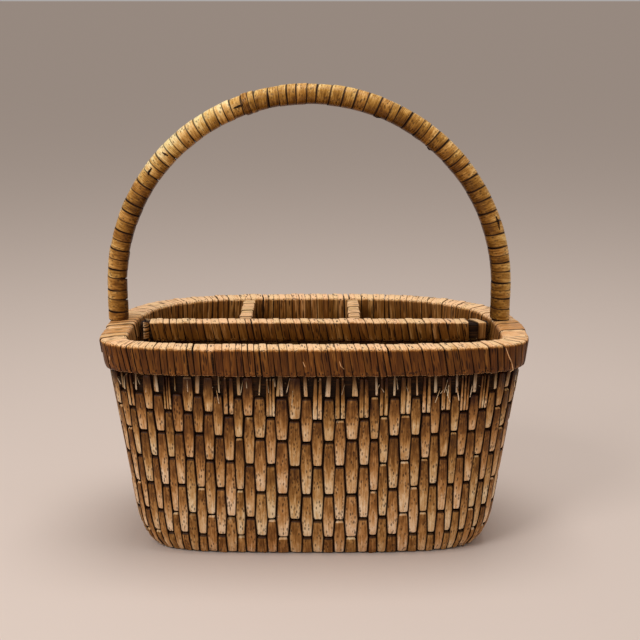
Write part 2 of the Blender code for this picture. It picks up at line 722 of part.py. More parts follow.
def main():
    clear_scene()
    mats = {"pale": material("pale splint", PALE, 0.55),
            "golden": material("golden splint", GOLDEN, 0.5),
            "brown": material("brown cane core", BROWN, 0.65),
            "straw": material("straw panel", STRAW, 0.7)}
    build_base(mats)
    build_wall(mats)
    build_rim(mats)
    build_handle(mats)
    build_long_divider(mats)
    build_cross_divider("left", LEFT_DIVIDER_X, mats)
    build_cross_divider("right", RIGHT_DIVIDER_X, mats)


main()
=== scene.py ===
# %% [markdown]
# # A divided basket of split cane
#
# This lesson dresses a imported CAD model of a basket. The model gives the true sizes and stays as a fixed
# frame. We build on it what a basket maker would: the sewn wall, the bound rim, the wound handle and the
# dividers. Everything is in metres, with +Z up and the front towards -Y.
#
# The first step loads the frame. The finished basket may not outgrow it.

# %% Load the frame
import math
import random

import bpy
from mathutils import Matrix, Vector


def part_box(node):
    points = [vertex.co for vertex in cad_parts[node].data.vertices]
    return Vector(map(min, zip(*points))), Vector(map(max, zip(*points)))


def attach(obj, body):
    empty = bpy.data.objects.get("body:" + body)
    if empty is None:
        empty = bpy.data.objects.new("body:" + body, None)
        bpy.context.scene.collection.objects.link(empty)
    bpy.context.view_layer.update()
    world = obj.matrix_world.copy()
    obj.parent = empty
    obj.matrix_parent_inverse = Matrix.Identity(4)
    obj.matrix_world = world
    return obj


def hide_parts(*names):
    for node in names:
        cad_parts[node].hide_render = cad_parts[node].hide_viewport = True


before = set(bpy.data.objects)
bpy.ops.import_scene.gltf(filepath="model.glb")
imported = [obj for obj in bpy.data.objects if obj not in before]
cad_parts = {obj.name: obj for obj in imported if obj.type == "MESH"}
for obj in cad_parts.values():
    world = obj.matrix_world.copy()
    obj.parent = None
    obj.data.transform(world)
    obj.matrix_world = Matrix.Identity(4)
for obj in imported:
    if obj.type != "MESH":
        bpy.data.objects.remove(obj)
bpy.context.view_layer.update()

# %% [markdown]
# ## The camera
#
# The picture looks along the basket's depth from a little above. A long lens from just over a metre away
# keeps the rim's outline as flat as it is there. The focal length is measured in pixels of the picture,
# so we turn it into the millimetres that Blender wants.

# %% Place the camera
SENSOR = 36.0
PICTURE = 640
FOCAL_PIXELS = 1254.4
CAMERA_TILT = math.radians(14.5)
CAMERA_PLACE = Vector((0.0048, -1.1640, 0.5045))


def put_in_scene(name, data):
    """An object that holds the data, linked to the scene."""
    thing = bpy.data.objects.new(name, data)
    bpy.context.scene.collection.objects.link(thing)
    return thing


camera_data = bpy.data.cameras.new("view")
camera_data.sensor_width = SENSOR
camera_data.lens = FOCAL_PIXELS * SENSOR / PICTURE
camera = put_in_scene("view", camera_data)
camera.location = CAMERA_PLACE
camera.rotation_euler = (math.pi / 2 - CAMERA_TILT, 0.0, 0.0)
bpy.context.scene.camera = camera
print("lens", round(camera_data.lens, 2), "mm")

# %% [markdown]
# ## Sums as nodes
#
# Materials and Geometry Nodes both do their sums with nodes. Placing dozens of Math nodes by hand hides
# the idea, so a small class wraps a socket and turns `a * b + 1` into the nodes for us. Vectors go through
# Vector Math and numbers through Math. The graph's `add` makes every other kind of node.

# %% Wrap sockets so that they can be used in sums


class Term:
    """A node's output that can be used in sums. Each operator adds the node that does it."""

    def __init__(self, graph, socket):
        self.graph = graph
        self.socket = socket

    def is_vector(self):
        return self.socket.type in {'VECTOR', 'RGBA'}

    def math(self, operation, *others, output=0):
        kind = "ShaderNodeVectorMath" if self.is_vector() else "ShaderNodeMath"
        return self.graph.add(kind, {"operation": operation}, dict(enumerate((self, *others))), output)

    def __add__(self, other):
        return self.math('ADD', other)

    def __sub__(self, other):
        return self.math('SUBTRACT', other)

    def __mul__(self, other):
        by_vector = isinstance(other, Term) and other.is_vector()
        if not self.is_vector():
            return other * self if by_vector else self.math('MULTIPLY', other)
        if by_vector or isinstance(other, tuple):
            return self.math('MULTIPLY', other)
        return self.graph.add("ShaderNodeVectorMath", {"operation": 'SCALE'}, {0: self, "Scale": other})

    def __truediv__(self, other):
        return self.math('DIVIDE', other)

    def __pow__(self, other):
        return self.math('POWER', other)

    def __radd__(self, other):
        return self + other

    def __rmul__(self, other):
        return self * other

    def __rsub__(self, other):
        return self.graph.add("ShaderNodeMath", {"operation": 'SUBTRACT'}, {0: other, 1: self})

    def __rtruediv__(self, other):
        return self.graph.add("ShaderNodeMath", {"operation": 'DIVIDE'}, {0: other, 1: self})

    def least(self, other):
        return self.math('MINIMUM', other)

    def most(self, other):
        return self.math('MAXIMUM', other)

    def size(self):
        return self.math('ABSOLUTE')

    def part(self, axis):
        """The x, y or z of a vector."""
        return self.graph.add("ShaderNodeSeparateXYZ", {}, {0: self}, output=axis)

    def between(self, low, high, low_value=0.0, high_value=1.0):
        """Maps low..high to low_value..high_value in a smooth step that holds its ends."""
        return self.graph.add("ShaderNodeMapRange", {"interpolation_type": 'SMOOTHSTEP'},
                              {"Value": self, "From Min": low, "From Max": high,
                               "To Min": low_value, "To Max": high_value})


class Graph:
    """Builds a node tree, one node at a time."""

    def __init__(self, tree):
        self.tree = tree

    def feed(self, slot, value):
        if isinstance(value, Term):
            self.tree.links.new(value.socket, slot)
        else:
            slot.default_value = value

    def add(self, kind, settings, inputs, output=0):
        """Adds a node: its settings first, then its inputs by name or number.

        Gives one output, or several where output names several.
        """
        node = self.tree.nodes.new(kind)
        for name, value in settings.items():
            if name == "stops":
                set_stops(node.color_ramp, value)
            else:
                setattr(node, name, value)
        for name, value in inputs.items():
            self.feed(node.inputs[name], value)
        if isinstance(output, tuple):
            return [Term(self, node.outputs[name]) for name in output]
        return Term(self, node.outputs[output])

    def vector(self, x, y, z):
        return self.add("ShaderNodeCombineXYZ", {}, {0: x, 1: y, 2: z})

    def mix(self, share, one, other):
        """Mixes two colours: all of one at 0, all of the other at 1."""
        return self.add("ShaderNodeMix", {"data_type": 'RGBA'}, {0: share, 6: one, 7: other}, output=2)


def set_stops(ramp, stops):
    """Gives a colour ramp its stops: pairs of a place and a colour."""
    while len(ramp.elements) < len(stops):
        ramp.elements.new(1.0)
    for element, (place, colour) in zip(ramp.elements, stops):
        element.position = place
        element.color = (*colour, 1.0)


print("sums become nodes")

# %% [markdown]
# ## The basket's plan
#
# Seen from above, the basket is a rounded oblong with tighter corners in front. A superellipse draws such
# a corner with one number, its power, so each quarter has its own. The same outline, made smaller, is the
# wall at every height. We write it as a function, because the wall, the rim and the dividers all need it.

# %% Sizes of the body, and the plan as a function
RIM_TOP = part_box("rim_binding")[1].z
RIM_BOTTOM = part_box("rim_binding")[0].z
HALF_LENGTH = 0.196
HALF_DEPTH = 0.10725
WIDEST_Y = -0.05148
CORNER_POWERS = {("front", "left"): 3.7, ("front", "right"): 3.3,
                 ("back", "left"): 3.2, ("back", "right"): 2.9}
RIM_OVERHANG = 0.0053
RIM_INNER_SIDE = 0.0092
RIM_INNER_END = 0.0117
LINING_DEPTH = 0.0080
LINING_THICKNESS = 0.0016
FOOT_HALF_LENGTH = 0.1628
FOOT_ROUND_HEIGHT = 0.040
FOOT_ROUND_DEPTH = 0.016
FOOT_ROUND_LIMIT = 0.995
CROSS_LINE_Y = -0.0022
LEAN = (HALF_LENGTH - RIM_OVERHANG - FOOT_HALF_LENGTH) / RIM_TOP


def plan_place(angle):
    """A point of the plan."""
    cos, sin = math.cos(angle), math.sin(angle)
    power = CORNER_POWERS["front" if sin < 0 else "back", "left" if cos < 0 else "right"]
    depth = HALF_DEPTH + WIDEST_Y if sin < 0 else HALF_DEPTH - WIDEST_Y
    x_share = math.copysign(abs(cos) ** (2 / power), cos)
    y_share = math.copysign(abs(sin) ** (2 / power), sin)
    return Vector((HALF_LENGTH * x_share, WIDEST_Y + depth * y_share, 0.0))


print("the wall leans out", round(LEAN, 3), "for each unit of height")

# %% [markdown]
# ## Paths to walk along
#
# What repeats on this basket follows a path: splints go round the plan, up the handle and along each
# rail. Geometry Nodes can sample a curve at any share of its length, so each path is a plain curve of
# points. The plan's points are spaced evenly, so that a share of the path is also a share of its length.

# %% Build the paths
PLAN_POINTS = 720
FINE_STEPS = 8
guides = []


def path_curve(name, points, closed=False):
    """A curve of straight pieces through the points. It only guides, so it is removed at the end."""
    curve = bpy.data.curves.new(name, 'CURVE')
    curve.dimensions = '3D'
    spline = curve.splines.new('POLY')
    spline.points.add(len(points) - 1)
    spline.points.foreach_set("co", [c for point in points for c in (*point, 1.0)])
    spline.use_cyclic_u = closed
    guides.append(put_in_scene(name, curve))
    return guides[-1]


def even_plan():
    """Points of the plan evenly spaced in length, from the middle of the back by the left to the front."""
    fine_points = FINE_STEPS * PLAN_POINTS
    fine = [plan_place(math.pi / 2 + 2 * math.pi * i / fine_points) for i in range(fine_points)]
    walked = [0.0]
    for a, b in zip(fine, fine[1:] + fine[:1]):
        walked.append(walked[-1] + (b - a).length)
    picked = []
    k = 0
    for i in range(PLAN_POINTS):
        wanted = walked[-1] * i / PLAN_POINTS
        while walked[k + 1] < wanted:
            k += 1
        picked.append(fine[k])
    return picked, walked[-1]


plan, PLAN_LENGTH = even_plan()
plan_path = path_curve("plan path", plan, closed=True)
print("the plan is", round(PLAN_LENGTH, 3), "m round")

# %% [markdown]
# ## From a tree to a plain mesh
#
# A Geometry Nodes tree takes its sizes through named inputs. The helpers below make the inputs, fill them
# by the sockets' identifiers, and turn the evaluated result into a plain mesh. Only then is the piece
# handed to the frame, which is told what carries it and which CAD nodes it stands for.

# %% Helpers for Geometry Nodes
SHARP_ANGLE = math.radians(60)
OWN_GRAIN = 91.0


def new_tree(name, **labels):
    """A Geometry Nodes tree with named inputs, listed by their kind of socket.

    Gives its graph, a term for each input, and the output node.
    """
    tree = bpy.data.node_groups.new(name, 'GeometryNodeTree')
    tree.interface.new_socket("Geometry", in_out='INPUT', socket_type="NodeSocketGeometry")
    for kind, listed in labels.items():
        for label in listed.split(", "):
            tree.interface.new_socket(label, in_out='INPUT', socket_type=f"NodeSocket{kind}")
    tree.interface.new_socket("Geometry", in_out='OUTPUT', socket_type="NodeSocketGeometry")
    graph = Graph(tree)
    source = tree.nodes.new("NodeGroupInput")
    terms = {socket.name: Term(graph, socket) for socket in source.outputs if socket.name}
    return graph, terms, tree.nodes.new("NodeGroupOutput")


def read_facts(graph, *labels):
    return [graph.add("GeometryNodeInputNamedAttribute", {"data_type": 'FLOAT'}, {"Name": label},
                      output="Attribute") for label in labels]


def keep_fact(graph, geometry, label, value):
    kind = 'FLOAT_VECTOR' if value.is_vector() else 'FLOAT'
    return graph.add("GeometryNodeStoreNamedAttribute", {"data_type": kind, "domain": 'POINT'},
                     {"Geometry": geometry, "Name": label, "Value": value})


def random_facts(graph, points, seed, **lows):
    """Keeps random numbers from a low to 1 on each point. Each label in turn draws with the next seed."""
    index = graph.add("GeometryNodeInputIndex", {}, {})
    for shift, (label, low) in enumerate(lows.items()):
        drawn = graph.add("FunctionNodeRandomValue", {"data_type": 'FLOAT'},
                          {2: low, 3: 1.0, "ID": index, "Seed": seed + shift}, output=1)
        points = keep_fact(graph, points, label, drawn)
    return points


def unit_boxes(graph, points, across, along):
    """A closed box on each point, which later steps bend into a splint.

    Gives the mesh, the place across from -0.5 to 0.5, and the places along and outwards from 0 to 1. Where
    the box has four points across, the inner two sit near its sides, which makes a flat splint with soft
    edges out of few faces.
    """
    box = graph.add("GeometryNodeMeshCube", {}, {"Size": (1.0, 1.0, 1.0), "Vertices X": across,
                                                 "Vertices Y": along, "Vertices Z": 2}, output="Mesh")
    copies = graph.add("GeometryNodeInstanceOnPoints", {}, {"Points": points, "Instance": box})
    real = graph.add("GeometryNodeRealizeInstances", {}, {0: copies})
    place = graph.add("GeometryNodeInputPosition", {}, {})
    x = place.part(0)
    # This curve keeps 0 and 0.5, and moves the inner points from a sixth to 0.3
    return real, x * (1.9 - x * x * 3.6), place.part(1) + 0.5, place.part(2) + 0.5


def walk(graph, terms, share):
    """The place and the direction of the tree's path at a share of its length."""
    path = graph.add("GeometryNodeObjectInfo", {}, {"Object": terms["Path"]}, output="Geometry")
    return graph.add("GeometryNodeSampleCurve", {"mode": 'FACTOR'}, {"Curves": path, "Factor": share},
                     output=("Position", "Tangent"))


def finish_tree(graph, terms, result, geometry, looks, place):
    """Keeps the facts that a finish reads, places the points, and ends in real, smooth mesh."""
    for label, value in looks.items():
        geometry = keep_fact(graph, geometry, label, value)
    moved = graph.add("GeometryNodeSetPosition", {}, {"Geometry": geometry, "Position": place})
    smooth = graph.add("GeometryNodeSetShadeSmooth", {}, {"Geometry": moved})
    real = graph.add("GeometryNodeRealizeInstances", {}, {0: smooth})
    done = graph.add("GeometryNodeSetMaterial", {}, {"Geometry": real, "Material": terms["Cane"]})
    graph.feed(result.inputs[0], done)
    return graph.tree


def host_mesh(facts):
    """Points at the origin that carry facts. With no facts, one point that only holds the modifier."""
    mesh = bpy.data.meshes.new("host")
    count = len(next(iter(facts.values()))) if facts else 1
    mesh.from_pydata([(0.0, 0.0, 0.0)] * count, [], [])
    for label, values in facts.items():
        mesh.attributes.new(label, 'FLOAT', 'POINT').data.foreach_set("value", values)
    return put_in_scene("host", mesh)


def hand_over(piece, replaced):
    """Tells the frame what carries the piece and which nodes it stands for."""
    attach(piece, "root")
    if replaced:
        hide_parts(*replaced)
    print(piece.name, len(piece.data.polygons), "faces")


def grow(name, tree, values, replaced, facts=None):
    """Runs a tree, keeps its result as a plain mesh and hands the piece to the frame."""
    host = host_mesh(facts or {})
    modifier = host.modifiers.new("grow", 'NODES')
    modifier.node_group = tree
    for socket in tree.interface.items_tree:
        if socket.in_out == 'INPUT' and socket.name in values:
            modifier[socket.identifier] = values[socket.name]
    bpy.context.view_layer.update()
    depsgraph = bpy.context.evaluated_depsgraph_get()
    mesh = bpy.data.meshes.new_from_object(host.evaluated_get(depsgraph))
    mesh.name = name
    host.modifiers.clear()
    bpy.data.objects.remove(host)
    mesh.set_sharp_from_angle(angle=SHARP_ANGLE)
    hand_over(put_in_scene(name, mesh), replaced)


print("helpers ready")

# %% [markdown]
# ## Split cane as a material
#
# Each splint is a strip of the cane's outer skin: satin, streaked along its length, freckled with dark
# spots, stained where the varnish pooled and paler where hands rub it. The strips bring four facts from
# Geometry Nodes: `grain` is a place on the strip in metres with an offset of its own, `tone` is a random
# number for each strip, `edge` is nearness to a side, and the fourth, for wear and light, is above zero
# where the strip is paler and below zero where it is darker. It carries real wear and stain, and also
# painted light: tops made paler as if lit from above, with some wear, a painted highlight line at a foot,
# a painted highlight on one stretch and painted shade on one side. One function builds every cane finish
# from these, because only the colours and the amounts differ.

# %% Make the cane materials
# Noise cells in a metre across and along a strip, and the noise's detail
STREAKS = (1500.0, 50.0, 4.0)
PORES = (3200.0, 130.0, 2.0)
BLOTCHES = (230.0, 85.0, 3.0)
SPECKS_ACROSS, SPECKS_ALONG = 430.0, 210.0
# Where a strip lies between the darkest and the palest colour, and how far the noises move it
RAMP_PLACES = (0.0, 0.3, 0.55, 0.8, 1.0)
PLAIN_LEVEL = 0.45
BLOTCH_SHOW = 0.8
STREAK_SHOW = 0.9
FOOT_HEIGHTS = (0.02, 0.17)
LIP_LENGTHS = (0.0020, 0.0030)
FRECKLE_SIZES = (0.22, 0.46)
WARM_HUE = (1.02, 0.98, 0.91, 1.0)
GREEN_HUE = (0.97, 1.01, 0.89, 1.0)
# Shares of the darkest colour that give the dark of freckles, of seams and of painted shade
STAIN_AND_SHADE_SHARES = (0.30, 0.09, 0.04)
CANE_RIDGES = 0.0005


def screen(*levels):
    """A colour as a screen shows it, from 0 to 255, turned into the linear values that a shader uses."""
    return tuple(((level / 255 + 0.055) / 1.055) ** 2.4 for level in levels)


def new_material(name, gloss):
    """A material with nodes. Gives the material, its graph and its shader."""
    made = bpy.data.materials.new(name)
    made.use_nodes = True
    shader = made.node_tree.nodes["Principled BSDF"]
    shader.inputs["Specular IOR Level"].default_value = gloss
    return made, Graph(made.node_tree), shader


def feed_shader(graph, shader, colour, roughness, ridges, depth):
    """Feeds the shader a colour, a roughness, and ridges of a depth in metres."""
    bump = graph.add("ShaderNodeBump", {}, {"Strength": 0.6, "Distance": depth, "Height": ridges})
    for label, value in (("Base Color", colour), ("Roughness", roughness), ("Normal", bump)):
        graph.feed(shader.inputs[label], value)


def cane_material(name, *colours, spread=0.2, freckles=0.85, seam=(0.84, 0.99), fade=0.55, foot=0.0, lip=0.0,
                  shade=None, roughness=0.40):
    """Streaked, freckled cane. colours run from the darkest to the palest.

    spread is how much strips differ and freckles how dark their spots are. seam is where the dark line at a
    strip's side begins and is full, and fade is how much of it goes where the strip is paler from wear and
    painted light. foot pales what is low on the basket, lip is a painted highlight where a strip begins, and
    shade is two heights between which painted shade falls under the rim, with some dark stain, and its
    amount.
    """
    made, graph, shader = new_material(name, 0.16)
    grain = graph.add("ShaderNodeAttribute", {"attribute_name": "grain"}, {}, output="Vector")
    tone, edge, worn = (graph.add("ShaderNodeAttribute", {"attribute_name": label}, {}, output="Fac")
                        for label in ("tone", "edge", "worn"))
    across, length, own = grain.part(0), grain.part(1), grain.part(2)

    def noise(across_scale, along_scale, detail):
        place = graph.vector(across * across_scale, length * along_scale, own)
        return graph.add("ShaderNodeTexNoise", {}, {"Vector": place, "Scale": 1.0, "Detail": detail,
                                                    "Roughness": 0.6})

    streaks, pores, blotches = noise(*STREAKS), noise(*PORES), noise(*BLOTCHES)
    specks = graph.add("ShaderNodeTexVoronoi", {}, {
        "Vector": graph.vector(across * SPECKS_ACROSS, length * SPECKS_ALONG, own), "Scale": 1.0})
    level = (tone - 0.5) * spread + (blotches - 0.5) * BLOTCH_SHOW + (streaks - 0.5) * STREAK_SHOW
    level = level + worn + PLAIN_LEVEL
    height = graph.add("ShaderNodeTexCoord", {}, {}, output="Object").part(2)
    if foot:
        level = level + height.between(*FOOT_HEIGHTS, foot, -foot)
    tucked = 0.0
    if lip:
        # Some strips catch the light where they come out, and the others are in shade there
        lit = (tone * 7.7).math('FRACT').between(0.66, 0.74)
        start = length.between(*LIP_LENGTHS, 1.0, 0.0)
        level = level + start * lit * lip
        tucked = start * (1.0 - lit) * 0.85
    stops = tuple(zip(RAMP_PLACES, (screen(*levels) for levels in colours)))
    colour = graph.add("ShaderNodeValToRGB", {"stops": stops}, {0: level})
    hue = (tone * 17.3).math('FRACT')
    colour = colour * graph.mix(hue, WARM_HUE, GREEN_HUE)
    freckle = specks.between(*FRECKLE_SIZES, 1.0, 0.0) * blotches.between(0.40, 0.55)
    # The sides of a strip darken into its seam: partly varnish gathered there, partly painted shade in the
    # gap between strips
    groove = edge.size().between(*seam) * worn.between(0.15, 0.60, 1.0, 1.0 - fade)
    darkness = (freckle * freckles).most(groove * 0.95).most(pores.between(0.60, 0.78) * 0.6).most(tucked)
    # Painted shade under the rim's overhang, with some dark stain in it
    if shade:
        low, high, amount = shade
        darkness = darkness.most(height.between(low, high) * amount)
    # Freckles, seams and the painted shades all darken towards this colour: nearly black, with some of the
    # stain's red left in it
    deep = (*(light * share for light, share in zip(screen(*colours[0]), STAIN_AND_SHADE_SHARES)), 1.0)
    feed_shader(graph, shader, graph.mix(darkness.least(1.0), colour, deep),
                (streaks - 0.5) * 0.35 + groove * 0.3 + roughness,
                streaks * 0.6 + pores * 0.3 - freckle * 0.5, CANE_RIDGES)
    return made


BURNT = (58, 28, 8)
scale_cane = cane_material("scale cane", BURNT, (124, 78, 32), (186, 132, 76), (228, 184, 138),
                           (252, 220, 188), freckles=0.75, seam=(0.76, 0.98), fade=0.0, foot=0.09,
                           lip=0.45, shade=(0.154, 0.180, 0.85))
rim_cane = cane_material("rim cane", (52, 24, 4), (98, 53, 14), (138, 84, 30), (212, 152, 94),
                         (255, 206, 160), spread=0.16)
handle_cane = cane_material("handle cane", BURNT, (116, 72, 22), (174, 120, 52), (232, 180, 108),
                            (255, 226, 172), spread=0.18, freckles=0.6, seam=(0.76, 0.95), fade=0.2,
                            roughness=0.30)
lashing_cane = cane_material("lashing cane", BURNT, (120, 74, 32), (182, 122, 68), (222, 162, 106),
                             (246, 196, 146), spread=0.26, freckles=0.6, seam=(0.76, 0.97), fade=0.25)
woven_cane = cane_material("woven cane", BURNT, (92, 58, 26), (128, 86, 42), (164, 120, 70), (196, 152, 100),
                           spread=0.4, roughness=0.6)
print("cane materials", len(bpy.data.materials))

# %% [markdown]
# ## The dark cane inside
#
# The hoops, the coils of the wall and the bars are bundles of raw cane, which only show as dark lines
# between the splints. Their colour is darker cane pushed to near-black as painted shade, because the gaps
# where they show lie in shade. Their CAD shapes are right, so they stay, and we only swap their material.
# It reads Object coordinates, because a CAD mesh has no facts of its own.

# %% Finish the CAD nodes that stay
KEPT_NODES = ["base_panel", "rim_outer_hoop", "rim_inner_hoop", "handle_core", "long_divider_rail",
              "left_divider_rail", "right_divider_rail"] + [f"wall_course_{n}" for n in range(1, 9)]
FIBRE_SCALES = (60.0, 60.0, 900.0)
FIBRE_RIDGES = 0.0006
SHADED_CORE_STOPS = ((0.30, screen(14, 7, 3)), (0.50, screen(38, 21, 9)), (0.72, screen(92, 58, 28)))


def shaded_core_material():
    """Bundles of fibres, darker cane made near-black as painted shade, for the cane that only shows between
    the splints.
    """
    made, graph, shader = new_material("raw cane", 0.1)
    place = graph.add("ShaderNodeTexCoord", {}, {}, output="Object")
    fibres = graph.add("ShaderNodeTexNoise", {}, {"Vector": place * FIBRE_SCALES, "Scale": 1.0,
                                                  "Detail": 4.0})
    patches = graph.add("ShaderNodeTexNoise", {}, {"Vector": place, "Scale": 45.0, "Detail": 3.0})
    colour = graph.add("ShaderNodeValToRGB", {"stops": SHADED_CORE_STOPS}, {0: fibres * 0.6 + patches * 0.4})
    feed_shader(graph, shader, colour, fibres * 0.3 + 0.5, fibres, FIBRE_RIDGES)
    return made


shaded_raw_cane = shaded_core_material()
for node in KEPT_NODES:
    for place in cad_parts[node].material_slots:
        place.material = shaded_raw_cane
print("kept nodes", len(KEPT_NODES))

# %% [markdown]
# ## The sewn wall
#
# The wall's skin is rows of long scales. Each is a flat splint that comes out from under the splint above
# it, bulges over two courses and goes in again. Neighbouring columns are half a scale out of step, so that
# a scale is widest where its neighbours end. Under the rim the splints are frayed: some are split in two
# or three, others have shrunk to slivers, and loose fibres lie across them. We note one point for each
# strip with the facts that place it, so that one tree can shape them all. The rows hang a little lower in
# the middle of the front than near the corners.

# %% Mark out a point for each scale
COLUMNS = 110
COLUMN_LINES = ((0.198, 0.157, 0.115, 0.062, 0.018, -0.026), (0.178, 0.1365, 0.090, 0.0365, -0.009))
SKIN_FOOT = 0.0012
SKIN_TOP = RIM_BOTTOM + 0.002
FRAYED_ABOVE = 0.150
SPLIT_ABOVE = 0.170
SPLIT_CHANCE = 0.65
LINE_JITTER = 0.0009
COLUMN_JITTER = 0.14
MIDDLE_WIDENING = 0.13
FIBRES = 130
FIBRE_TOPS = (0.166, 0.178)
FIBRE_LENGTHS = (0.003, 0.009, 0.014)
FIBRE_WIDTHS = (0.00025, 0.0006)
FIBRE_LEAN = 0.006
WALL_SEED = 21
SCALE_FACTS = ("middle", "half", "top", "bottom", "widest", "start", "stop", "swell", "taper", "lean", "sink",
               "bright")
FRONT_MIDDLE = 0.5032
SAG_REACH = 0.135
SAG_END = 0.045
LEFT_SAG = 0.0085
RIGHT_SAG = 0.0120
RIGHT_SAG_FALL = 0.034


def from_middle(share):
    """How far round the wall a share is from the middle of its side: 0 there and 1 near a corner."""
    off = abs(share - FRONT_MIDDLE)
    return min(1.0, min(off, abs(0.5 - off)) / SAG_REACH)


def sag(share, line):
    """How much higher a line of the wall runs here than in the middle of the front, where it hangs low."""
    rise = (1.0 - math.cos(math.pi * from_middle(share))) / 2
    depth = LEFT_SAG if share < FRONT_MIDDLE else RIGHT_SAG - RIGHT_SAG_FALL * line
    return rise * depth * max(0.0, min(1.0, (RIM_BOTTOM - line) / SAG_END, line / SAG_END))


def scale_facts():
    """Facts of every strip of the wall. Widths and places round the wall are shares of the plan."""
    dice = random.Random(WALL_SEED)
    facts = {label: [] for label in SCALE_FACTS}

    def note(middle, half, top, bottom, knee, swell=1.0, taper=1.0, lean=0.0, sink=0.0, bright=0.0):
        drop = top - bottom
        row = (middle, half, top, bottom, (top - knee) / drop, max(0.0, (top - SKIN_TOP) / drop),
               min(1.0, (top - SKIN_FOOT) / drop), swell, taper, lean, sink, bright)
        for label, value in zip(SCALE_FACTS, row):
            facts[label].append(value)

    widths = [(1.0 + MIDDLE_WIDENING * math.cos(math.pi * from_middle(column / COLUMNS)))
              * (1.0 + COLUMN_JITTER * dice.uniform(-1.0, 1.0)) for column in range(COLUMNS)]
    total = sum(widths)
    walked = 0.0
    for column, width in enumerate(widths):
        middle, half = (walked + width / 2) / total, width / 2 / total
        walked += width
        own, neighbour = ([line + sag(middle, line) for line in COLUMN_LINES[k]]
                          for k in (column % 2, 1 - column % 2))
        own = [line + dice.uniform(-LINE_JITTER, LINE_JITTER) for line in own]
        for top, bottom in zip(own, own[1:]):
            if top < SKIN_FOOT:
                continue
            between = [line for line in neighbour if bottom < line < top]
            knee = between[0] if between else (top + bottom) / 2
            if bottom > FRAYED_ABOVE:
                for _ in range(dice.choice((1, 1, 2))):
                    note(middle + half * dice.uniform(-0.4, 0.4), half * dice.uniform(0.16, 0.50),
                         top, bottom, knee, swell=0.3, taper=dice.uniform(0.4, 0.9),
                         lean=half * dice.uniform(-0.8, 0.8), sink=dice.uniform(0.0, 0.0014),
                         bright=dice.uniform(-0.1, 0.4))
            elif top > SPLIT_ABOVE and dice.random() < SPLIT_CHANCE:
                strips = dice.choice((2, 2, 3))
                for strip in range(strips):
                    note(middle + half * ((2 * strip + 1) / strips - 1) * 0.95, half / strips * 0.97,
                         top, bottom, knee, swell=0.5, taper=dice.uniform(0.45, 0.85),
                         lean=half * dice.uniform(-0.1, 0.1), bright=dice.uniform(-0.1, 0.15))
            else:
                note(middle, half, top, bottom, knee)
    # The fibres are pale, partly from their own colour and partly as painted glints
    for _ in range(FIBRES):
        top = dice.uniform(*FIBRE_TOPS)
        bottom = top - dice.choice(FIBRE_LENGTHS) * dice.uniform(0.8, 1.2)
        note(dice.random(), dice.uniform(*FIBRE_WIDTHS) / PLAN_LENGTH, top, bottom, (top + bottom) / 2,
             swell=0.0, taper=0.7, lean=dice.uniform(-FIBRE_LEAN, FIBRE_LEAN) / PLAN_LENGTH,
             sink=-0.0004, bright=0.6)
    return facts


wall_facts = scale_facts()
print("strips of the wall", len(wall_facts["top"]))

# %% [markdown]
# The tree shapes a unit box into a scale. Across, the box is widest at the neighbours' line and narrow at
# its ends. Outwards, it is crowned like a strip of cane, with its top end tucked in. Last, the wall's own
# formula bends it round the plan, out with the lean and under at the rounded foot.

# %% Grow the scales
X_AXIS, Y_AXIS, Z_AXIS = (Vector(axis) for axis in ((1.0, 0.0, 0.0), (0.0, 1.0, 0.0), (0.0, 0.0, 1.0)))
END_WIDTH_SHARE = 0.85
WIDEST_SHARE = 1.15
MIDDLE_SIZE = 0.90
CORNER_START = 0.10
QUARTER = 0.25
ROW_CROWDING = 0.9
LIFT_JITTER = 0.00025
POINTED = 0.12
POINT_STEEPNESS = 25.0
TUCK_SHARE = 0.05
LOW_TUCK = 0.45
# Wear and stain along a scale, from the first share of its length to the second, by the first amount to the
# second
WEAR = (0.22, 0.92, -0.13, 0.36)


def upright_part(share):
    """How far a share is from the middle of its side, fading to nothing in the middle of a corner."""
    off = share - FRONT_MIDDLE
    off = off - (off * 2.0).math('ROUND') * 0.5
    return off - off.math('SIGN') * off.size().between(CORNER_START, QUARTER) * QUARTER


def wall_place(graph, terms, share, height, proud):
    """The wall's formula: a place at a share of the plan and a height, proud of the wall's face.

    The columns stay upright on the four sides, and crowd towards the foot at the corners.
    """
    rise = (1.0 - height / FOOT_ROUND_HEIGHT).most(0.0).least(FOOT_ROUND_LIMIT)
    root = (1.0 - rise * rise) ** 0.5
    tilt = (rise * (FOOT_ROUND_DEPTH / FOOT_ROUND_HEIGHT) / root).math('ARCTANGENT')
    half = height * LEAN + FOOT_HALF_LENGTH - (1.0 - root) * FOOT_ROUND_DEPTH
    share = share + upright_part(share) * (MIDDLE_SIZE * HALF_LENGTH / half - 1.0)
    place, ahead = walk(graph, terms, share.math('FRACT'))
    outward = ahead.math('CROSS_PRODUCT', Z_AXIS)
    flat = place * (half / HALF_LENGTH) + outward * (proud * tilt.math('COSINE'))
    return flat + graph.vector(0.0, 0.0, height - proud * tilt.math('SINE'))


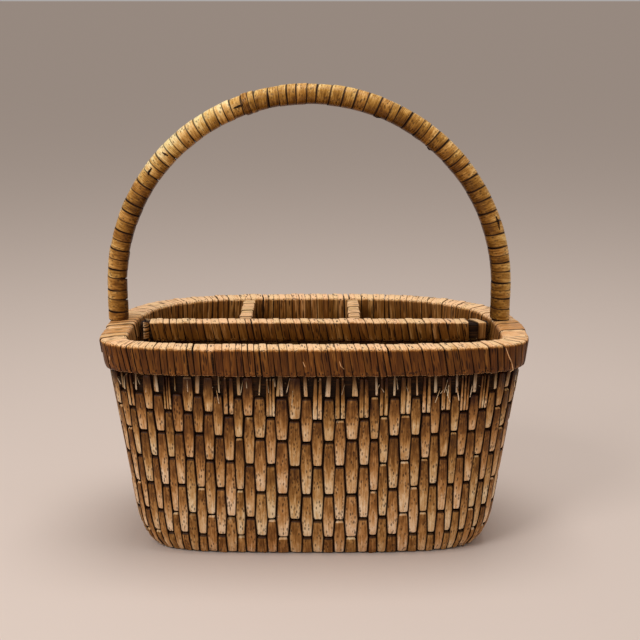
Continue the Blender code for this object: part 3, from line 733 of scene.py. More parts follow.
def scale_tree():
    """The tree that grows the strips of the wall from their facts."""
    graph, terms, result = new_tree(
        "sewn scales", Object="Path", Material="Cane", Int="Across, Along, Seed",
        Float="Path length, Proud, Edge drop, End drop, Thickness, Groove, End gap, Wander, Twist")
    points = random_facts(graph, terms["Geometry"], terms["Seed"],
                          tone=0.0, lift=-1.0, shift=-1.0, twist=-1.0)
    real, side, even, level = unit_boxes(graph, points, terms["Across"], terms["Along"])
    middle, half, top, bottom, widest, start, stop, swell, taper, lean, sink, bright = (
        read_facts(graph, *SCALE_FACTS))
    tone, lift, shift, twist = read_facts(graph, "tone", "lift", "shift", "twist")
    # Rows of the box crowd towards both ends, where the scale bends most
    crowded = even - (even * (2 * math.pi)).math('SINE') * (ROW_CROWDING / (2 * math.pi))
    drop = top - bottom
    first = start.most(terms["End gap"] / drop)
    last = stop.least(1.0 - terms["End gap"] / drop)
    knee = widest.most(first).least(last)
    down = first + (crowded * 2.0).least(1.0) * (knee - first)
    down = down + (crowded * 2.0 - 1.0).most(0.0) * (last - knee)
    widening = (down / widest).least((1.0 - down) / (1.0 - widest))
    width = (widening * (WIDEST_SHARE - END_WIDTH_SHARE) + END_WIDTH_SHARE - 1.0) * swell + 1.0
    from_end = crowded.least(1.0 - crowded)
    point = (from_end * POINT_STEEPNESS).least(1.0) * POINTED + (1.0 - POINTED)
    width = width * (taper + (1.0 - taper) * down) * point
    groove = terms["Groove"] / terms["Path length"] * swell
    reach = (half * width - groove) * side * 2.0
    wander = shift * terms["Wander"] / terms["Path length"] + lean * (down - 0.5)
    tuck = crowded.between(0.0, TUCK_SHARE, 1.0, 0.0) + crowded.between(1.0 - TUCK_SHARE, 1.0) * LOW_TUCK
    bulge = (1.0 - side * side * 4.0) * terms["Edge drop"] + terms["Proud"] - terms["Edge drop"]
    bulge = bulge - tuck * terms["End drop"] + lift * LIFT_JITTER - sink + side * twist * terms["Twist"]
    proud = level * (bulge + terms["Thickness"]) - terms["Thickness"]
    looks = {"grain": graph.vector(reach * terms["Path length"], drop * down, tone * OWN_GRAIN),
             "edge": (side.size() * 2.0).most(1.0 - level),
             "worn": down.between(*WEAR) + bright}
    place = wall_place(graph, terms, middle + wander - reach, top - drop * down, proud)
    return finish_tree(graph, terms, result, real, looks, place)


grow("wall_scales", scale_tree(), {
    "Path": plan_path, "Path length": PLAN_LENGTH, "Proud": 0.0012, "Edge drop": 0.0008, "End drop": 0.0015,
    "Thickness": 0.0022, "Groove": 0.00048, "End gap": 0.0012, "Wander": 0.0004, "Twist": 0.0007,
    "Across": 4, "Along": 7, "Seed": 4, "Cane": scale_cane}, ["wall_splints"], wall_facts)

# %% [markdown]
# ## Windings
#
# The rim, the handle and the rails are all wound with splint. One tree serves them all: it sets out the
# wraps along a path, with uneven widths, and bends a unit box round the section at each. Each turn moves
# on by its own width, so its end meets the start of the next, as in a real winding. A superellipse is
# again the section, because one number turns it from the round handle to the squarer rim. The rim needs a
# section of its own, which leans with the wall and is deeper at the ends.

# %% Build the winding tree
RIM_CENTRE = (RIM_TOP + RIM_BOTTOM) / 2
RIM_HALF_HEIGHT = (RIM_TOP - RIM_BOTTOM) / 2
RIM_NARROWING = RIM_HALF_HEIGHT * LEAN / (RIM_CENTRE * LEAN + FOOT_HALF_LENGTH)
# A power that leaves only a few wraps open, out of evenly spread random numbers
FEW_OPEN = 12.0
LIFT_WOBBLE = 0.7
# Where a wrap is painted paler, from not at all to fully, and how much: light on the top, with some rubbing
# wear, a highlight line at the foot and a highlight on one stretch
TOP_LIGHT_AND_RUB = (0.78, 0.97)
TOP_LIGHT_AND_RUB_AMOUNT = 0.62
FOOT_HIGHLIGHT_BELOW = (0.93, 0.985)
FOOT_HIGHLIGHT_ASIDE = (0.3, 0.8)
FOOT_HIGHLIGHT_AMOUNT = 0.8
LIT_STRETCH = (0.03, 0.13)


def rim_section(graph, terms, place, outward, aside, up, offset):
    """A place on the rim's section, from its shares aside and up."""
    hang = place.math('DOT_PRODUCT', outward, output="Value") * (RIM_OVERHANG / HALF_LENGTH)
    inner = (outward * (RIM_INNER_END, RIM_INNER_SIDE, 0.0)).math('LENGTH', output="Value")
    half = (hang + LINING_DEPTH + inner) * 0.5
    height = up * (RIM_HALF_HEIGHT + offset) + RIM_CENTRE
    size = (height * LEAN + FOOT_HALF_LENGTH) / HALF_LENGTH
    return place * size + outward * (aside * (half + offset) + hang - half) + graph.vector(0.0, 0.0, height)


def bar_section(graph, terms, place, outward, aside, up, offset):
    """A place on the section of the handle or of a rail."""
    return (place + outward * (aside * (terms["Half width"] + offset))
            + terms["Axis"] * (up * (terms["Half height"] + offset)))


def winding_tree(name, section):
    """A tree that winds splint round a section along a path."""
    graph, terms, result = new_tree(
        name, Object="Path", Material="Cane", Vector="Axis", Int="Turns, Across, Round, Seed",
        Float="Path length, From share, To share, Closed, Half width, Half height, Roundness, Jitter, Gap, "
              "Start angle, Stop angle, Slant, Fan, Helix, Open, Lift, Crown, Thickness, Wobble, Worn, "
              "Outer worn, Rubbed, Rubbed at, Upright")
    points = graph.add("GeometryNodePoints", {}, {"Count": terms["Turns"], "Position": (0.0, 0.0, 0.0)})
    points = random_facts(graph, points, terms["Seed"], wide=-1.0, tone=0.0, lift=-1.0, turned=-1.0, open=0.0)
    wide = read_facts(graph, "wide")[0] * terms["Jitter"] + 1.0
    done, total = graph.add("GeometryNodeAccumulateField", {"data_type": 'FLOAT', "domain": 'POINT'},
                            {"Value": wide}, output=("Trailing", "Total"))
    span = terms["To share"] - terms["From share"]
    points = keep_fact(graph, points, "middle", terms["From share"] + span * (done + wide * 0.5) / total)
    points = keep_fact(graph, points, "half", span * wide * 0.5 / total)
    real, side, round_share, level = unit_boxes(graph, points, terms["Across"], terms["Round"])
    middle, half, tone, lift, turned, opened = read_facts(graph, "middle", "half", "tone", "lift", "turned",
                                                          "open")
    angle = terms["Start angle"] + (terms["Stop angle"] - terms["Start angle"]) * round_share
    cos, sin = angle.math('COSINE'), angle.math('SINE')
    aside = cos.math('SIGN') * cos.size() ** terms["Roundness"]
    up = sin.math('SIGN') * sin.size() ** terms["Roundness"]
    # Seen from the middle of a square section, its sides are walked more evenly than by the angle itself
    ahead_of_angle = (up.math('ARCTAN2', aside) - angle).math('WRAP', math.pi, -math.pi)
    progress = round_share + ahead_of_angle / (2 * math.pi)
    tilt = (up * (terms["Slant"] + turned * terms["Wobble"]) + aside * terms["Fan"]) / terms["Path length"]
    tilt = tilt + (progress - 0.5) * half * 2.0 * terms["Helix"]
    reach = side * half * 2.0 * (1.0 - terms["Gap"] - opened ** FEW_OPEN * terms["Open"])
    share = middle + reach + tilt
    share = share - upright_part(share) * up * terms["Upright"]
    share = share - share.math('FLOOR') * terms["Closed"]
    place, ahead = walk(graph, terms, share)
    outward = ahead.math('CROSS_PRODUCT', terms["Axis"])
    crown = (1.0 - side * side * 4.0) * terms["Crown"] - terms["Crown"] + terms["Lift"]
    crown = crown + lift * terms["Wobble"] * LIFT_WOBBLE
    offset = level * (crown + terms["Thickness"]) - terms["Thickness"]
    # Painted light and shade: the top paler, with some rubbing wear, one face darker than the other, a
    # highlight line at the foot and a highlight on one stretch of the path
    # A painted highlight line along the lower outer edge of the section
    foot = (up * -1.0).between(*FOOT_HIGHLIGHT_BELOW) * aside.between(*FOOT_HIGHLIGHT_ASIDE) * FOOT_HIGHLIGHT_AMOUNT
    # A painted highlight along one stretch of the path
    rubbed = (middle - terms["Rubbed at"]).size().between(*LIT_STRETCH, 1.0, 0.0) * terms["Rubbed"]
    # Painted light on the top of the section, with some rubbing wear, and the foot's painted highlight line
    worn = (up.between(*TOP_LIGHT_AND_RUB) * TOP_LIGHT_AND_RUB_AMOUNT + foot) * terms["Worn"]
    # The outer-face term is painted shade: it pales one face of the section and darkens the other
    worn = worn + aside * terms["Outer worn"] + rubbed
    length = angle * (terms["Half width"] + terms["Half height"]) * 0.6
    looks = {"grain": graph.vector(reach * terms["Path length"], length, tone * OWN_GRAIN),
             "edge": (side.size() * 2.0).most(1.0 - level), "worn": worn}
    place = section(graph, terms, place, outward, aside, up, offset)
    return finish_tree(graph, terms, result, real, looks, place)


rim_winding = winding_tree("rim winding", rim_section)
bar_winding = winding_tree("bar winding", bar_section)


def wind(name, tree, path, length, span, turns, angles, replaced, slot, **changes):
    """Winds a path between two shares of it. The values below suit a tight binding of this basket."""
    values = {"Path": path, "Path length": length, "From share": span[0], "To share": span[1],
              "Closed": 0.0, "Axis": Z_AXIS, "Half width": 0.011, "Half height": RIM_HALF_HEIGHT,
              "Roundness": 0.22, "Turns": turns, "Jitter": 0.22, "Gap": 0.04, "Start angle": angles[0],
              "Stop angle": angles[1], "Slant": 0.0, "Fan": 0.0, "Helix": 0.0, "Open": 0.3, "Lift": 0.0002,
              "Crown": 0.0004, "Thickness": 0.0012, "Wobble": 0.0005, "Worn": 1.0, "Outer worn": 0.0,
              "Rubbed": 0.0, "Rubbed at": 0.0, "Upright": 0.0, "Across": 4, "Round": 17, "Seed": 1,
              "Cane": rim_cane}
    values.update({label.replace("_", " ").capitalize(): value for label, value in changes.items()})
    grow(name, tree, values, replaced)


print("winding trees have", len(bar_winding.nodes), "nodes each")

# %% [markdown]
# ## The bound rim
#
# About 170 narrow wraps hold the hoops against the top course. They lean a little, as any winding does,
# and no two are as wide. Between them the dark hoops of the frame show through.

# %% Wind the rim
SECTION_START = math.radians(-110)
FULL_TURN = (SECTION_START, SECTION_START + 2 * math.pi)
# The rim's top is painted paler as light, with some wear, its foot gets a painted highlight line, and its
# outer face is darkened a little as painted shade
wind("rim_wraps", rim_winding, plan_path, PLAN_LENGTH, (0.0, 1.0), 170, FULL_TURN, ["rim_binding"],
     "bound_splint", closed=1.0, slant=-0.0009, helix=-1.0, thickness=0.0016, lift=-0.0001,
     upright=1.8 * RIM_NARROWING, outer_worn=-0.09, round=18, seed=11)

# %% [markdown]
# ## The lashings
#
# At each end, broad pale splints go over the rim beside the handle's leg and hold it down. They cross the
# top and stop half-way down both faces, so they use the rim's winding over half a turn. The left end has
# eight of them. The right end has three thin ones by the leg, and then two broad ones.

# %% Lash the handle's legs
OVER_THE_TOP = (0.0, math.pi)
LASHED_FRONT_Y = -0.0677
LASHED_BACK_Y = 0.0132
THIN_FRONT_Y = -0.0180


def plan_share(y, side):
    """The share of the plan where its left (-1) or right (1) end crosses y."""
    near = [i for i, point in enumerate(plan) if point.x * side > HALF_LENGTH / 2]
    return min(near, key=lambda i: abs(plan[i].y - y)) / PLAN_POINTS


def lash(name, side, y_low, y_high, count, replaced, seed, jitter, fan):
    """Lays lashings over the rim between two places along Y."""
    span = sorted((plan_share(y_low, side), plan_share(y_high, side)))
    wind(name, rim_winding, plan_path, PLAN_LENGTH, span, count, OVER_THE_TOP, replaced, "lashing_splint",
         lift=0.0004, crown=0.0005, jitter=jitter, wobble=0.0008, worn=0.6, round=13,
         fan=fan, open=0.1, upright=RIM_NARROWING, seed=seed, cane=lashing_cane)


lash("left_lashing", -1, LASHED_FRONT_Y, LASHED_BACK_Y, 8, ["handle_lashing_left"],
     seed=51, jitter=0.22, fan=0.0050)
lash("right_lashing_thin", 1, THIN_FRONT_Y, LASHED_BACK_Y, 3, ["handle_lashing_right"],
     seed=53, jitter=0.15, fan=0.0025)
lash("right_lashing_broad", 1, LASHED_FRONT_Y, THIN_FRONT_Y, 2, [], seed=57, jitter=0.1, fan=0.0025)

# %% [markdown]
# ## Loose strands
#
# Hand work is never quite tidy: a splint's end has come out at the right corner, and fibres have lifted
# from the rim. We know where the picture shows them, and they lie on the rim's face. So a search over that
# face finds the place that the camera sees at each pixel, and a thin thread joins the places.

# %% Lay the loose strands
AHEAD = Vector((0.0, math.cos(CAMERA_TILT), -math.sin(CAMERA_TILT)))
UPWARD = Vector((0.0, math.sin(CAMERA_TILT), math.cos(CAMERA_TILT)))
STRANDS = (((506.5, 348.0), (508.6, 356.0), (511.8, 363.0), (513.0, 370.0), (510.6, 373.0)),
           ((303.0, 362.0), (305.5, 366.0), (309.0, 371.0), (310.5, 376.0)),
           ((339.0, 361.0), (341.0, 366.0), (343.5, 369.0)),
           ((108.0, 347.5), (109.5, 357.0), (110.0, 364.0)))
STRAND_RADIUS = 0.00045
THREAD_SIDES = 6
THREAD_TIP = 0.45
FACE_STEPS = 20


def seen(point):
    """The pixel of the 640 by 640 picture where the camera sees a point."""
    away = point - CAMERA_PLACE
    scale = FOCAL_PIXELS / away.dot(AHEAD)
    return Vector((PICTURE / 2 + away.x * scale, PICTURE / 2 - away.dot(UPWARD) * scale))


def rim_face(number, up):
    """A place on the rim's outer face: a point of the plan, at a share of the rim's half height."""
    place = plan[number]
    outward = (plan[(number + 1) % PLAN_POINTS] - plan[number - 1]).cross(Z_AXIS).normalized()
    height = RIM_CENTRE + up * RIM_HALF_HEIGHT
    proud = place.dot(outward) * RIM_OVERHANG / HALF_LENGTH
    size = (height * LEAN + FOOT_HALF_LENGTH) / HALF_LENGTH
    return place * size + outward * proud + Vector((0.0, 0.0, height))


def thread(points, thickest, first):
    """The points and faces of a closed thread. first is the number of its first point."""
    rings = []
    for number, point in enumerate(points):
        ahead = (points[min(number + 1, len(points) - 1)] - points[max(number - 1, 0)]).normalized()
        aside = ahead.cross(Y_AXIS).normalized()
        radius = thickest * (THREAD_TIP if number in {0, len(points) - 1} else 1.0)
        for side in range(THREAD_SIDES):
            turn = 2 * math.pi * side / THREAD_SIDES
            rings.append(point + (aside * math.cos(turn) + aside.cross(ahead) * math.sin(turn)) * radius)
    faces = [tuple(range(THREAD_SIDES)), tuple(reversed(range(len(rings) - THREAD_SIDES, len(rings))))]
    for ring in range(0, len(rings) - THREAD_SIDES, THREAD_SIDES):
        for side in range(THREAD_SIDES):
            after = (side + 1) % THREAD_SIDES
            faces.append((ring + after, ring + side, ring + THREAD_SIDES + side, ring + THREAD_SIDES + after))
    return rings, [tuple(corner + first for corner in face) for face in faces]


def lay(name, lines, face, radius, cane):
    """Lays a thread along each line of pixels. face pairs places with the pixels where they are seen."""
    corners, faces = [], []
    for pixels in lines:
        places = [min(face, key=lambda pair: (pair[0] - Vector(pixel)).length)[1] for pixel in pixels]
        added, added_faces = thread(places, radius, len(corners))
        corners += added
        faces += added_faces
    mesh = bpy.data.meshes.new(name)
    mesh.from_pydata(corners, [], faces)
    for label, value in (("tone", 0.7), ("edge", 0.3), ("worn", 0.5)):
        mesh.attributes.new(label, 'FLOAT', 'POINT').data.foreach_set("value", [value] * len(corners))
    grain = [c for corner in corners for c in (0.0, corner.z, 3.0)]
    mesh.attributes.new("grain", 'FLOAT_VECTOR', 'POINT').data.foreach_set("vector", grain)
    mesh.materials.append(cane)
    hand_over(put_in_scene(name, mesh), [])


rim_front = [(seen(place), place) for place in (
    rim_face(number, step / FACE_STEPS) for number in range(PLAN_POINTS // 5, PLAN_POINTS * 4 // 5)
    for step in range(-FACE_STEPS, FACE_STEPS + 1))]
lay("loose_strands", STRANDS, rim_front, STRAND_RADIUS, lashing_cane)

# %% [markdown]
# ## The wound handle
#
# The handle is a bent rod wound from rim to rim. Its path is a half circle on two short legs, and its
# section is a plain circle, so the roundness is 1. Two turns that stand a little proud, left of the top,
# are where one splint ended and the next began.

# %% Wind the handle
HANDLE_LOW, HANDLE_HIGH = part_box("handle_binding")
HANDLE_RADIUS = 0.0094
LEG_LEFT_X = HANDLE_LOW.x + HANDLE_RADIUS
LEG_RIGHT_X = HANDLE_HIGH.x - HANDLE_RADIUS
ARC_RADIUS = (LEG_RIGHT_X - LEG_LEFT_X) / 2
ARC_MIDDLE_X = (LEG_RIGHT_X + LEG_LEFT_X) / 2
SPRINGING_Z = HANDLE_HIGH.z - HANDLE_RADIUS - ARC_RADIUS
HANDLE_STEPS = 160
HANDLE_FOOT_Z = RIM_TOP + 0.0004
TURN_FROM_TOP = (math.pi / 2, 2.5 * math.pi)
KNOT_SPAN = (0.404, 0.422)

handle_points = [Vector((LEG_LEFT_X, CROSS_LINE_Y, HANDLE_FOOT_Z))]
for step in range(HANDLE_STEPS + 1):
    turn = math.pi * (1 - step / HANDLE_STEPS)
    handle_points.append(Vector((ARC_MIDDLE_X + ARC_RADIUS * math.cos(turn), CROSS_LINE_Y,
                                 SPRINGING_Z + ARC_RADIUS * math.sin(turn))))
handle_points.append(Vector((LEG_RIGHT_X, CROSS_LINE_Y, HANDLE_FOOT_Z)))
handle_length = sum((b - a).length for a, b in zip(handle_points, handle_points[1:]))
handle_path = path_curve("handle path", handle_points)
print("handle", round(handle_length, 3), "m long, arc radius", round(ARC_RADIUS, 4))


def wind_handle(name, span, turns, replaced, **changes):
    """Winds the handle between two shares of its length."""
    wind(name, bar_winding, handle_path, handle_length, span, turns, TURN_FROM_TOP, replaced,
         "bound_splint", axis=Y_AXIS, half_width=HANDLE_RADIUS, half_height=HANDLE_RADIUS, roundness=1.0,
         open=0.0, worn=0.0, cane=handle_cane, **changes)


# One stretch of the left arc gets a painted highlight, and the handle's inner side is darkened and its outer
# side paled as painted shade
wind_handle("handle_wraps", (0.0, 1.0), 64, ["handle_binding"], jitter=0.32, gap=0.004, helix=1.0,
            fan=-0.0012, crown=0.0003, thickness=0.0019, wobble=0.0004, outer_worn=0.27, rubbed=0.30,
            rubbed_at=0.31, seed=23)
wind_handle("handle_knot", KNOT_SPAN, 2, [], gap=0.02, lift=0.0012, crown=0.0006, outer_worn=0.2, seed=29)

# %% [markdown]
# The winding isn't whole. A few splints have shrunk or split and show the dark cane under them, on the
# handle and at one place of the rim. These dark slits are laid like the loose strands, with a second face
# to search: the near side of the handle.

# %% Open the dark slits
SLITS = (((147.6, 175.0), (149.6, 171.6), (151.6, 168.4)),
         ((162.0, 152.4), (164.6, 154.0), (167.4, 155.8)),
         ((233.5, 108.8), (238.5, 105.8), (243.6, 104.2)),
         ((496.0, 216.0), (498.0, 223.0), (499.4, 230.0)),
         ((373.5, 115.8), (377.0, 116.9), (380.5, 117.6)),
         ((427.0, 148.2), (429.2, 149.0), (431.6, 149.6)),
         ((211.4, 352.4), (212.8, 364.0), (214.2, 376.0)))
SLIT_RADIUS = 0.0011
SLIT_PROUD = 0.0002
SEARCH_STEPS = 4
SEARCH_DEGREES = 6


def handle_near_side():
    """Places all over the near half of the handle."""
    places = []
    for a, b in zip(handle_points, handle_points[1:]):
        outward = (b - a).cross(Y_AXIS).normalized()
        for step in range(SEARCH_STEPS):
            for degrees in range(0, 181, SEARCH_DEGREES):
                turn = math.radians(degrees)
                away = outward * math.cos(turn) - Y_AXIS * math.sin(turn)
                places.append(a.lerp(b, step / SEARCH_STEPS) + away * (HANDLE_RADIUS + SLIT_PROUD))
    return places


handle_front = [(seen(place), place) for place in handle_near_side()]
# The slits are laid in the near-black cane, which stands for the shade inside each slit as well as the dark
# core
lay("dark_slits", SLITS, rim_front + handle_front, SLIT_RADIUS, shaded_raw_cane)

# %% [markdown]
# ## The bound rails
#
# Each divider hangs from a rail that is wound like the rim, but on a straight path. The long one stops
# short of the rim at both ends: its left end is tied with narrow turns and its right end is held by a
# broad strap. The cross rails are tied at both ends.

# %% Wind the rails


def box_of(node):
    """A CAD node's low corner, high corner, middle and size."""
    low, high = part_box(node)
    return low, high, (low + high) / 2, high - low


def wind_bar(name, node, axis, turns, **changes):
    """Winds the length of a CAD node that lies along X (axis 0) or Y (axis 1), in its own size."""
    low, high, middle, size = box_of(node)
    ends = [middle.copy(), middle.copy()]
    ends[0][axis] = low[axis]
    ends[1][axis] = high[axis]
    values = {"slant": -0.0008, "helix": -1.0, "round": 15, "half_width": size[1 - axis] / 2,
              "half_height": size.z / 2, "slot": "bound_splint"}
    values.update(changes)
    wind(name, bar_winding, path_curve(f"{name} path", ends), (ends[1] - ends[0]).length, (0.0, 1.0), turns,
         FULL_TURN, [node], **values)


wind_bar("long_divider_wraps", "long_divider_binding", 0, 43, seed=31)
wind_bar("left_divider_wraps", "left_divider_binding", 1, 8, seed=37, cane=lashing_cane)
wind_bar("right_divider_wraps", "right_divider_binding", 1, 8, seed=41, cane=lashing_cane)

# %% [markdown]
# The ties are the same winding with two narrow turns, and five at the long rail's left end. The strap is a
# single broad turn that is open underneath and crosses the rail's top at a slant. Its path is longer than
# it is wide, because a slanted turn needs some path on either side.

# %% Tie the rails
NARROW_TURNS = {"thickness": 0.0011, "crown": 0.0003, "wobble": 0.0003}
TIES = [f"{side}_divider_tie_{end}" for side in ("left", "right") for end in ("front", "back")]
for number, node in enumerate(TIES):
    wind_bar(f"{node}_turns", node, 1, 2, slot="lashing_splint", jitter=0.1, gap=0.14, seed=61 + number,
             cane=lashing_cane, **NARROW_TURNS)

low, high, middle, size = box_of("long_divider_lashing_left")
tie_path = path_curve("left tie path", [Vector((middle.x, middle.y, z)) for z in (low.z, high.z)])
wind("long_divider_left_tie", bar_winding, tie_path, high.z - low.z, (0.0, 1.0), 5, FULL_TURN,
     ["long_divider_lashing_left"], "lashing_splint", axis=Y_AXIS, half_width=size.x / 2,
     half_height=size.y / 2, gap=0.16, open=0.0, helix=-1.0, seed=65, **NARROW_TURNS)

STRAP_SLANT = 0.0042
STRAP_PATH_REACH = 0.015
OPEN_UNDERNEATH = (math.radians(-80), math.radians(260))
middle, size = box_of("long_divider_strap_right")[2:]
strap_path = path_curve("strap path", [middle + X_AXIS * reach
                                       for reach in (-STRAP_PATH_REACH, STRAP_PATH_REACH)])
half_share = size.x / (4 * STRAP_PATH_REACH)
wind("right_strap", bar_winding, strap_path, 2 * STRAP_PATH_REACH, (0.5 - half_share, 0.5 + half_share), 1,
     OPEN_UNDERNEATH, ["long_divider_strap_right"], "lashing_splint",
     half_width=size.y / 2, half_height=size.z / 2, fan=STRAP_SLANT, gap=0.0, open=0.0,
     thickness=0.0011, lift=0.0003, seed=71, cane=lashing_cane)

# %% [markdown]
# ## Woven panels, lining and floor mat
#
# Inside, flat splints are woven over and under one another. A weave is a wave: each strip goes out and in
# once for every two strips that it crosses, and the strips of the other direction do the opposite. One
# tree bends a long thin box into that wave. The host's facts give each strip its line, its two ends and
# where its wave starts, and a small function says how a place on the weave becomes a place in space.

# %% Build the weaving tree
STRIP_FACTS = ("line", "from", "to", "phase")
LINING_MIDDLE = LINING_DEPTH + LINING_THICKNESS / 2


def weaving_tree(name, placing):
    """A tree that weaves strips from their facts. placing turns a place on the weave into one in space."""
    graph, terms, result = new_tree(
        name, Object="Path", Material="Cane", Vector="Middle, Along, Aside, Out", Int="Segments, Seed",
        Float="Width, Thickness, Wave, Pitch, Unit")
    points = random_facts(graph, terms["Geometry"], terms["Seed"], tone=0.0)
    real, side, even, level = unit_boxes(graph, points, 2, terms["Segments"])
    line, start, stop, phase, tone = read_facts(graph, *STRIP_FACTS, "tone")
    along = start + (stop - start) * even
    wave = ((along / terms["Pitch"] + phase) * math.pi).math('COSINE') * terms["Wave"]
    out = wave + (level - 0.5) * terms["Thickness"]
    aside = side * terms["Width"]
    # A strip has points only at its two sides, so its edge keeps its sign and the material drops it
    looks = {"grain": graph.vector(aside, along * terms["Unit"], tone * OWN_GRAIN), "edge": side * 2.0,
             "worn": wave / terms["Wave"] * 0.12}
    return finish_tree(graph, terms, result, real, looks, placing(graph, terms, line, along, aside, out))


def flat_place(graph, terms, line, along, aside, out):
    return terms["Middle"] + terms["Along"] * along + terms["Aside"] * (line + aside) + terms["Out"] * out


def lining_row_place(graph, terms, line, along, aside, out):
    return wall_place(graph, terms, along, line + aside, out * -1.0 - LINING_MIDDLE)


def lining_stake_place(graph, terms, line, along, aside, out):
    return wall_place(graph, terms, line - aside / PLAN_LENGTH, along, out * -1.0 - LINING_MIDDLE)


flat_weaving = weaving_tree("flat weaving", flat_place)
print("weaving tree has", len(flat_weaving.nodes), "nodes")

# %% [markdown]
# The strips are marked out in Python, because each must stop at the basket's outline. `crossing` gives
# the outline's distance from the middle along a line, and `wall_size` how large the outline is at a
# height. The panels of the cross dividers are woven up to the wraps of their rails.

# %% Weave the dividers' panels and the mat
STRIP_FILL = 0.93
PANEL_PITCHES = (0.0075, 0.0100)
MAT_PITCHES = (0.0090, 0.0090)
INSIDE = LINING_DEPTH + LINING_THICKNESS + 0.0006
MAT_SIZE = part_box("floor_mat")[1].x / HALF_LENGTH


def crossing(axis, at, side, size):
    """How far the outline, made smaller by size, reaches along X (0) or Y (1) on the line at."""
    found = [0.0]
    for a, b in zip(plan, plan[1:] + plan[:1]):
        low, high = a[1 - axis] * size - at, b[1 - axis] * size - at
        if low * high <= 0 and low != high and a[axis] * side > 0:
            found.append(abs(a[axis] + (b[axis] - a[axis]) * low / (low - high)) * size)
    return max(found) * side


def wall_size(z):
    """How large the outline is at a height, with the plan as 1."""
    rise = min(max(0.0, 1.0 - z / FOOT_ROUND_HEIGHT), FOOT_ROUND_LIMIT)
    half = z * LEAN + FOOT_HALF_LENGTH - (1.0 - math.sqrt(1.0 - rise * rise)) * FOOT_ROUND_DEPTH
    return half / HALF_LENGTH


def strips(lines, ends, pitch, origin, first=0):
    """Facts of parallel strips: their lines, their two ends and a wave that starts at origin."""
    facts = {label: [] for label in STRIP_FACTS}
    for number, line in enumerate(lines):
        low, high = ends(line)
        if high - low < pitch / 2:
            continue
        for label, value in zip(STRIP_FACTS, (line, low, high, number + first - 0.5 - origin / pitch)):
            facts[label].append(value)
    return facts


def even_lines(low, high, pitch):
    """Evenly spaced lines that fill low to high, near a pitch, and their true pitch."""
    count = round((high - low) / pitch)
    return [low + (k + 0.5) * (high - low) / count for k in range(count)], (high - low) / count


def weave(name, node, axes, reach, pitches, wave, thickness, seed, top=None):
    """Weaves a flat node. axes are the rows' direction and the stakes', and top moves its upper end."""
    low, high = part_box(node)
    high = Vector((high.x, high.y, top or high.z))
    along, upright = axes
    rows, row_pitch = even_lines(low[upright], high[upright], pitches[0])
    stakes, stake_pitch = even_lines(low[along], high[along], pitches[1])
    row_ends = {line: (max(low[along], reach(line, -1)), min(high[along], reach(line, 1))) for line in rows}

    def stake_ends(line):
        inside = [row for row in rows if row_ends[row][0] <= line <= row_ends[row][1]]
        return (min(inside) - row_pitch / 2, max(inside) + row_pitch / 2) if inside else (0.0, 0.0)

    unit = (X_AXIS, Y_AXIS, Z_AXIS)
    centre = (low + high) / 2
    centre[along] = centre[upright] = 0.0
    for part, ahead, beside, facts, pitch, width, count in (
            ("rows", along, upright, strips(rows, row_ends.get, stake_pitch, low[along]),
             stake_pitch, row_pitch, len(stakes)),
            ("stakes", upright, along, strips(stakes, stake_ends, row_pitch, low[upright]),
             row_pitch, stake_pitch, len(rows))):
        grow(f"{name}_{part}", flat_weaving, {
            "Middle": centre, "Along": unit[ahead], "Aside": unit[beside],
            "Out": unit[beside].cross(unit[ahead]), "Width": width * STRIP_FILL, "Thickness": thickness,
            "Wave": wave, "Pitch": pitch, "Unit": 1.0, "Segments": 4 * count, "Seed": seed,
            "Cane": woven_cane}, [node] if part == "rows" else [], facts)


weave("long_panel", "long_divider_panel", (0, 2),
      lambda z, side: crossing(0, CROSS_LINE_Y, side, wall_size(z)) - side * INSIDE,
      PANEL_PITCHES, wave=0.0011, thickness=0.0013, seed=81)
for label in ("left", "right"):
    low, _, middle, _ = box_of(f"{label}_divider_panel")
    weave(f"{label}_panel", f"{label}_divider_panel", (1, 2),
          lambda z, side: crossing(1, middle.x, 1, wall_size(z)) - INSIDE if side > 0 else low.y,
          PANEL_PITCHES, wave=0.0009, thickness=0.0011, seed=83,
          top=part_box(f"{label}_divider_binding")[0].z)
weave("mat", "floor_mat", (0, 1), lambda y, side: crossing(0, y, side, MAT_SIZE),
      MAT_PITCHES, wave=0.0010, thickness=0.0012, seed=87)

# %% [markdown]
# The lining is the same weave bent round the wall. Its rows run right round the basket, and their waves
# come from the number of stakes, which is even, so that the last wave meets the first.

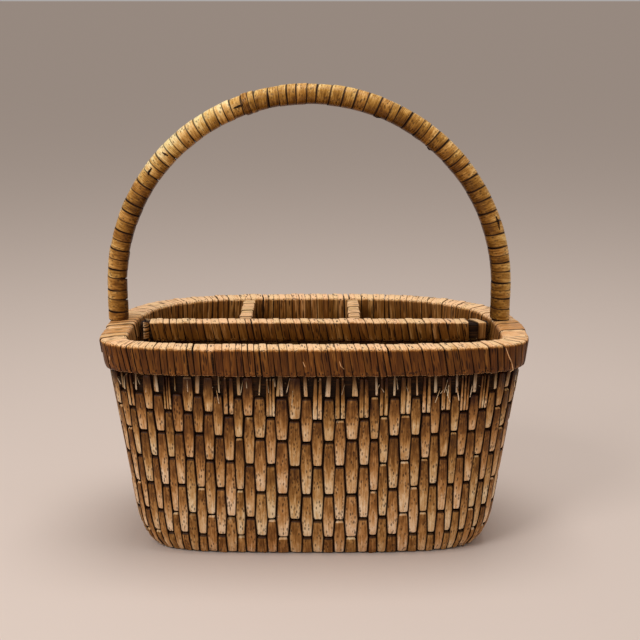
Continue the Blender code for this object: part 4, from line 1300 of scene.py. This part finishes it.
# %% Weave the lining
LINING_STAKES = 100
LINING_PITCH = 0.0085
lining_low, lining_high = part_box("wall_lining")
lining_rows, lining_pitch = even_lines(lining_low.z, lining_high.z, LINING_PITCH)
stake_lines = [(k + 0.5) / LINING_STAKES for k in range(LINING_STAKES)]
common = {"Path": plan_path, "Thickness": 0.0009, "Wave": 0.0006, "Seed": 91, "Cane": woven_cane}
grow("lining_rows", weaving_tree("lining rows", lining_row_place), {
    **common, "Width": lining_pitch * STRIP_FILL, "Pitch": 1.0 / LINING_STAKES, "Unit": PLAN_LENGTH,
    "Segments": 3 * LINING_STAKES + 1}, ["wall_lining"],
    strips(lining_rows, lambda line: (0.0, 1.0), 1.0 / LINING_STAKES, 0.0))
grow("lining_stakes", weaving_tree("lining stakes", lining_stake_place), {
    **common, "Width": PLAN_LENGTH / LINING_STAKES * STRIP_FILL * 0.9, "Pitch": lining_pitch, "Unit": 1.0,
    "Segments": 3 * len(lining_rows) + 1}, [],
    strips(stake_lines, lambda line: (lining_low.z, lining_high.z), lining_pitch, lining_low.z, 1))

# %% [markdown]
# ## The floor and the lights
#
# A plain pale floor and soft light keep the attention on the cane.

# %% Light it and finish
for guide in guides:
    bpy.data.objects.remove(guide)

FLOOR_REACH = 120.0
FLOOR_Z = -0.0005
ROOM_COLOUR = (1.0, 0.97, 0.94, 1.0)
ROOM_STRENGTH = 0.42

floor_mesh = bpy.data.meshes.new("floor")
floor_mesh.from_pydata([(x * FLOOR_REACH, y * FLOOR_REACH, 0.0)
                        for x, y in ((-1, -1), (1, -1), (1, 1), (-1, 1))], [], [(0, 1, 2, 3)])
floor = put_in_scene("floor", floor_mesh)
floor.location.z = FLOOR_Z
pale, _, shader = new_material("pale floor", 0.0)
shader.inputs["Base Color"].default_value = (*screen(222, 205, 194), 1.0)
shader.inputs["Roughness"].default_value = 1.0
floor.data.materials.append(pale)

world = bpy.data.worlds.new("soft room")
world.use_nodes = True
bpy.context.scene.world = world
background = world.node_tree.nodes["Background"]
background.inputs["Color"].default_value = ROOM_COLOUR
background.inputs["Strength"].default_value = ROOM_STRENGTH


def area_lamp(name, place, target, size, power):
    """A soft square lamp that faces its target."""
    data = bpy.data.lights.new(name, 'AREA')
    data.shape = 'SQUARE'
    data.size = size
    data.energy = power
    lamp = put_in_scene(name, data)
    lamp.location = place
    lamp.rotation_euler = (Vector(target) - Vector(place)).to_track_quat('-Z', 'Y').to_euler()


area_lamp("key", (-0.8, -1.0, 1.2), (0.0, 0.0, 0.15), size=0.6, power=8.0)
area_lamp("top", (0.1, 0.0, 1.7), (0.0, 0.0, 0.1), size=0.9, power=12.0)
bpy.context.scene.view_settings.view_transform = 'Standard'
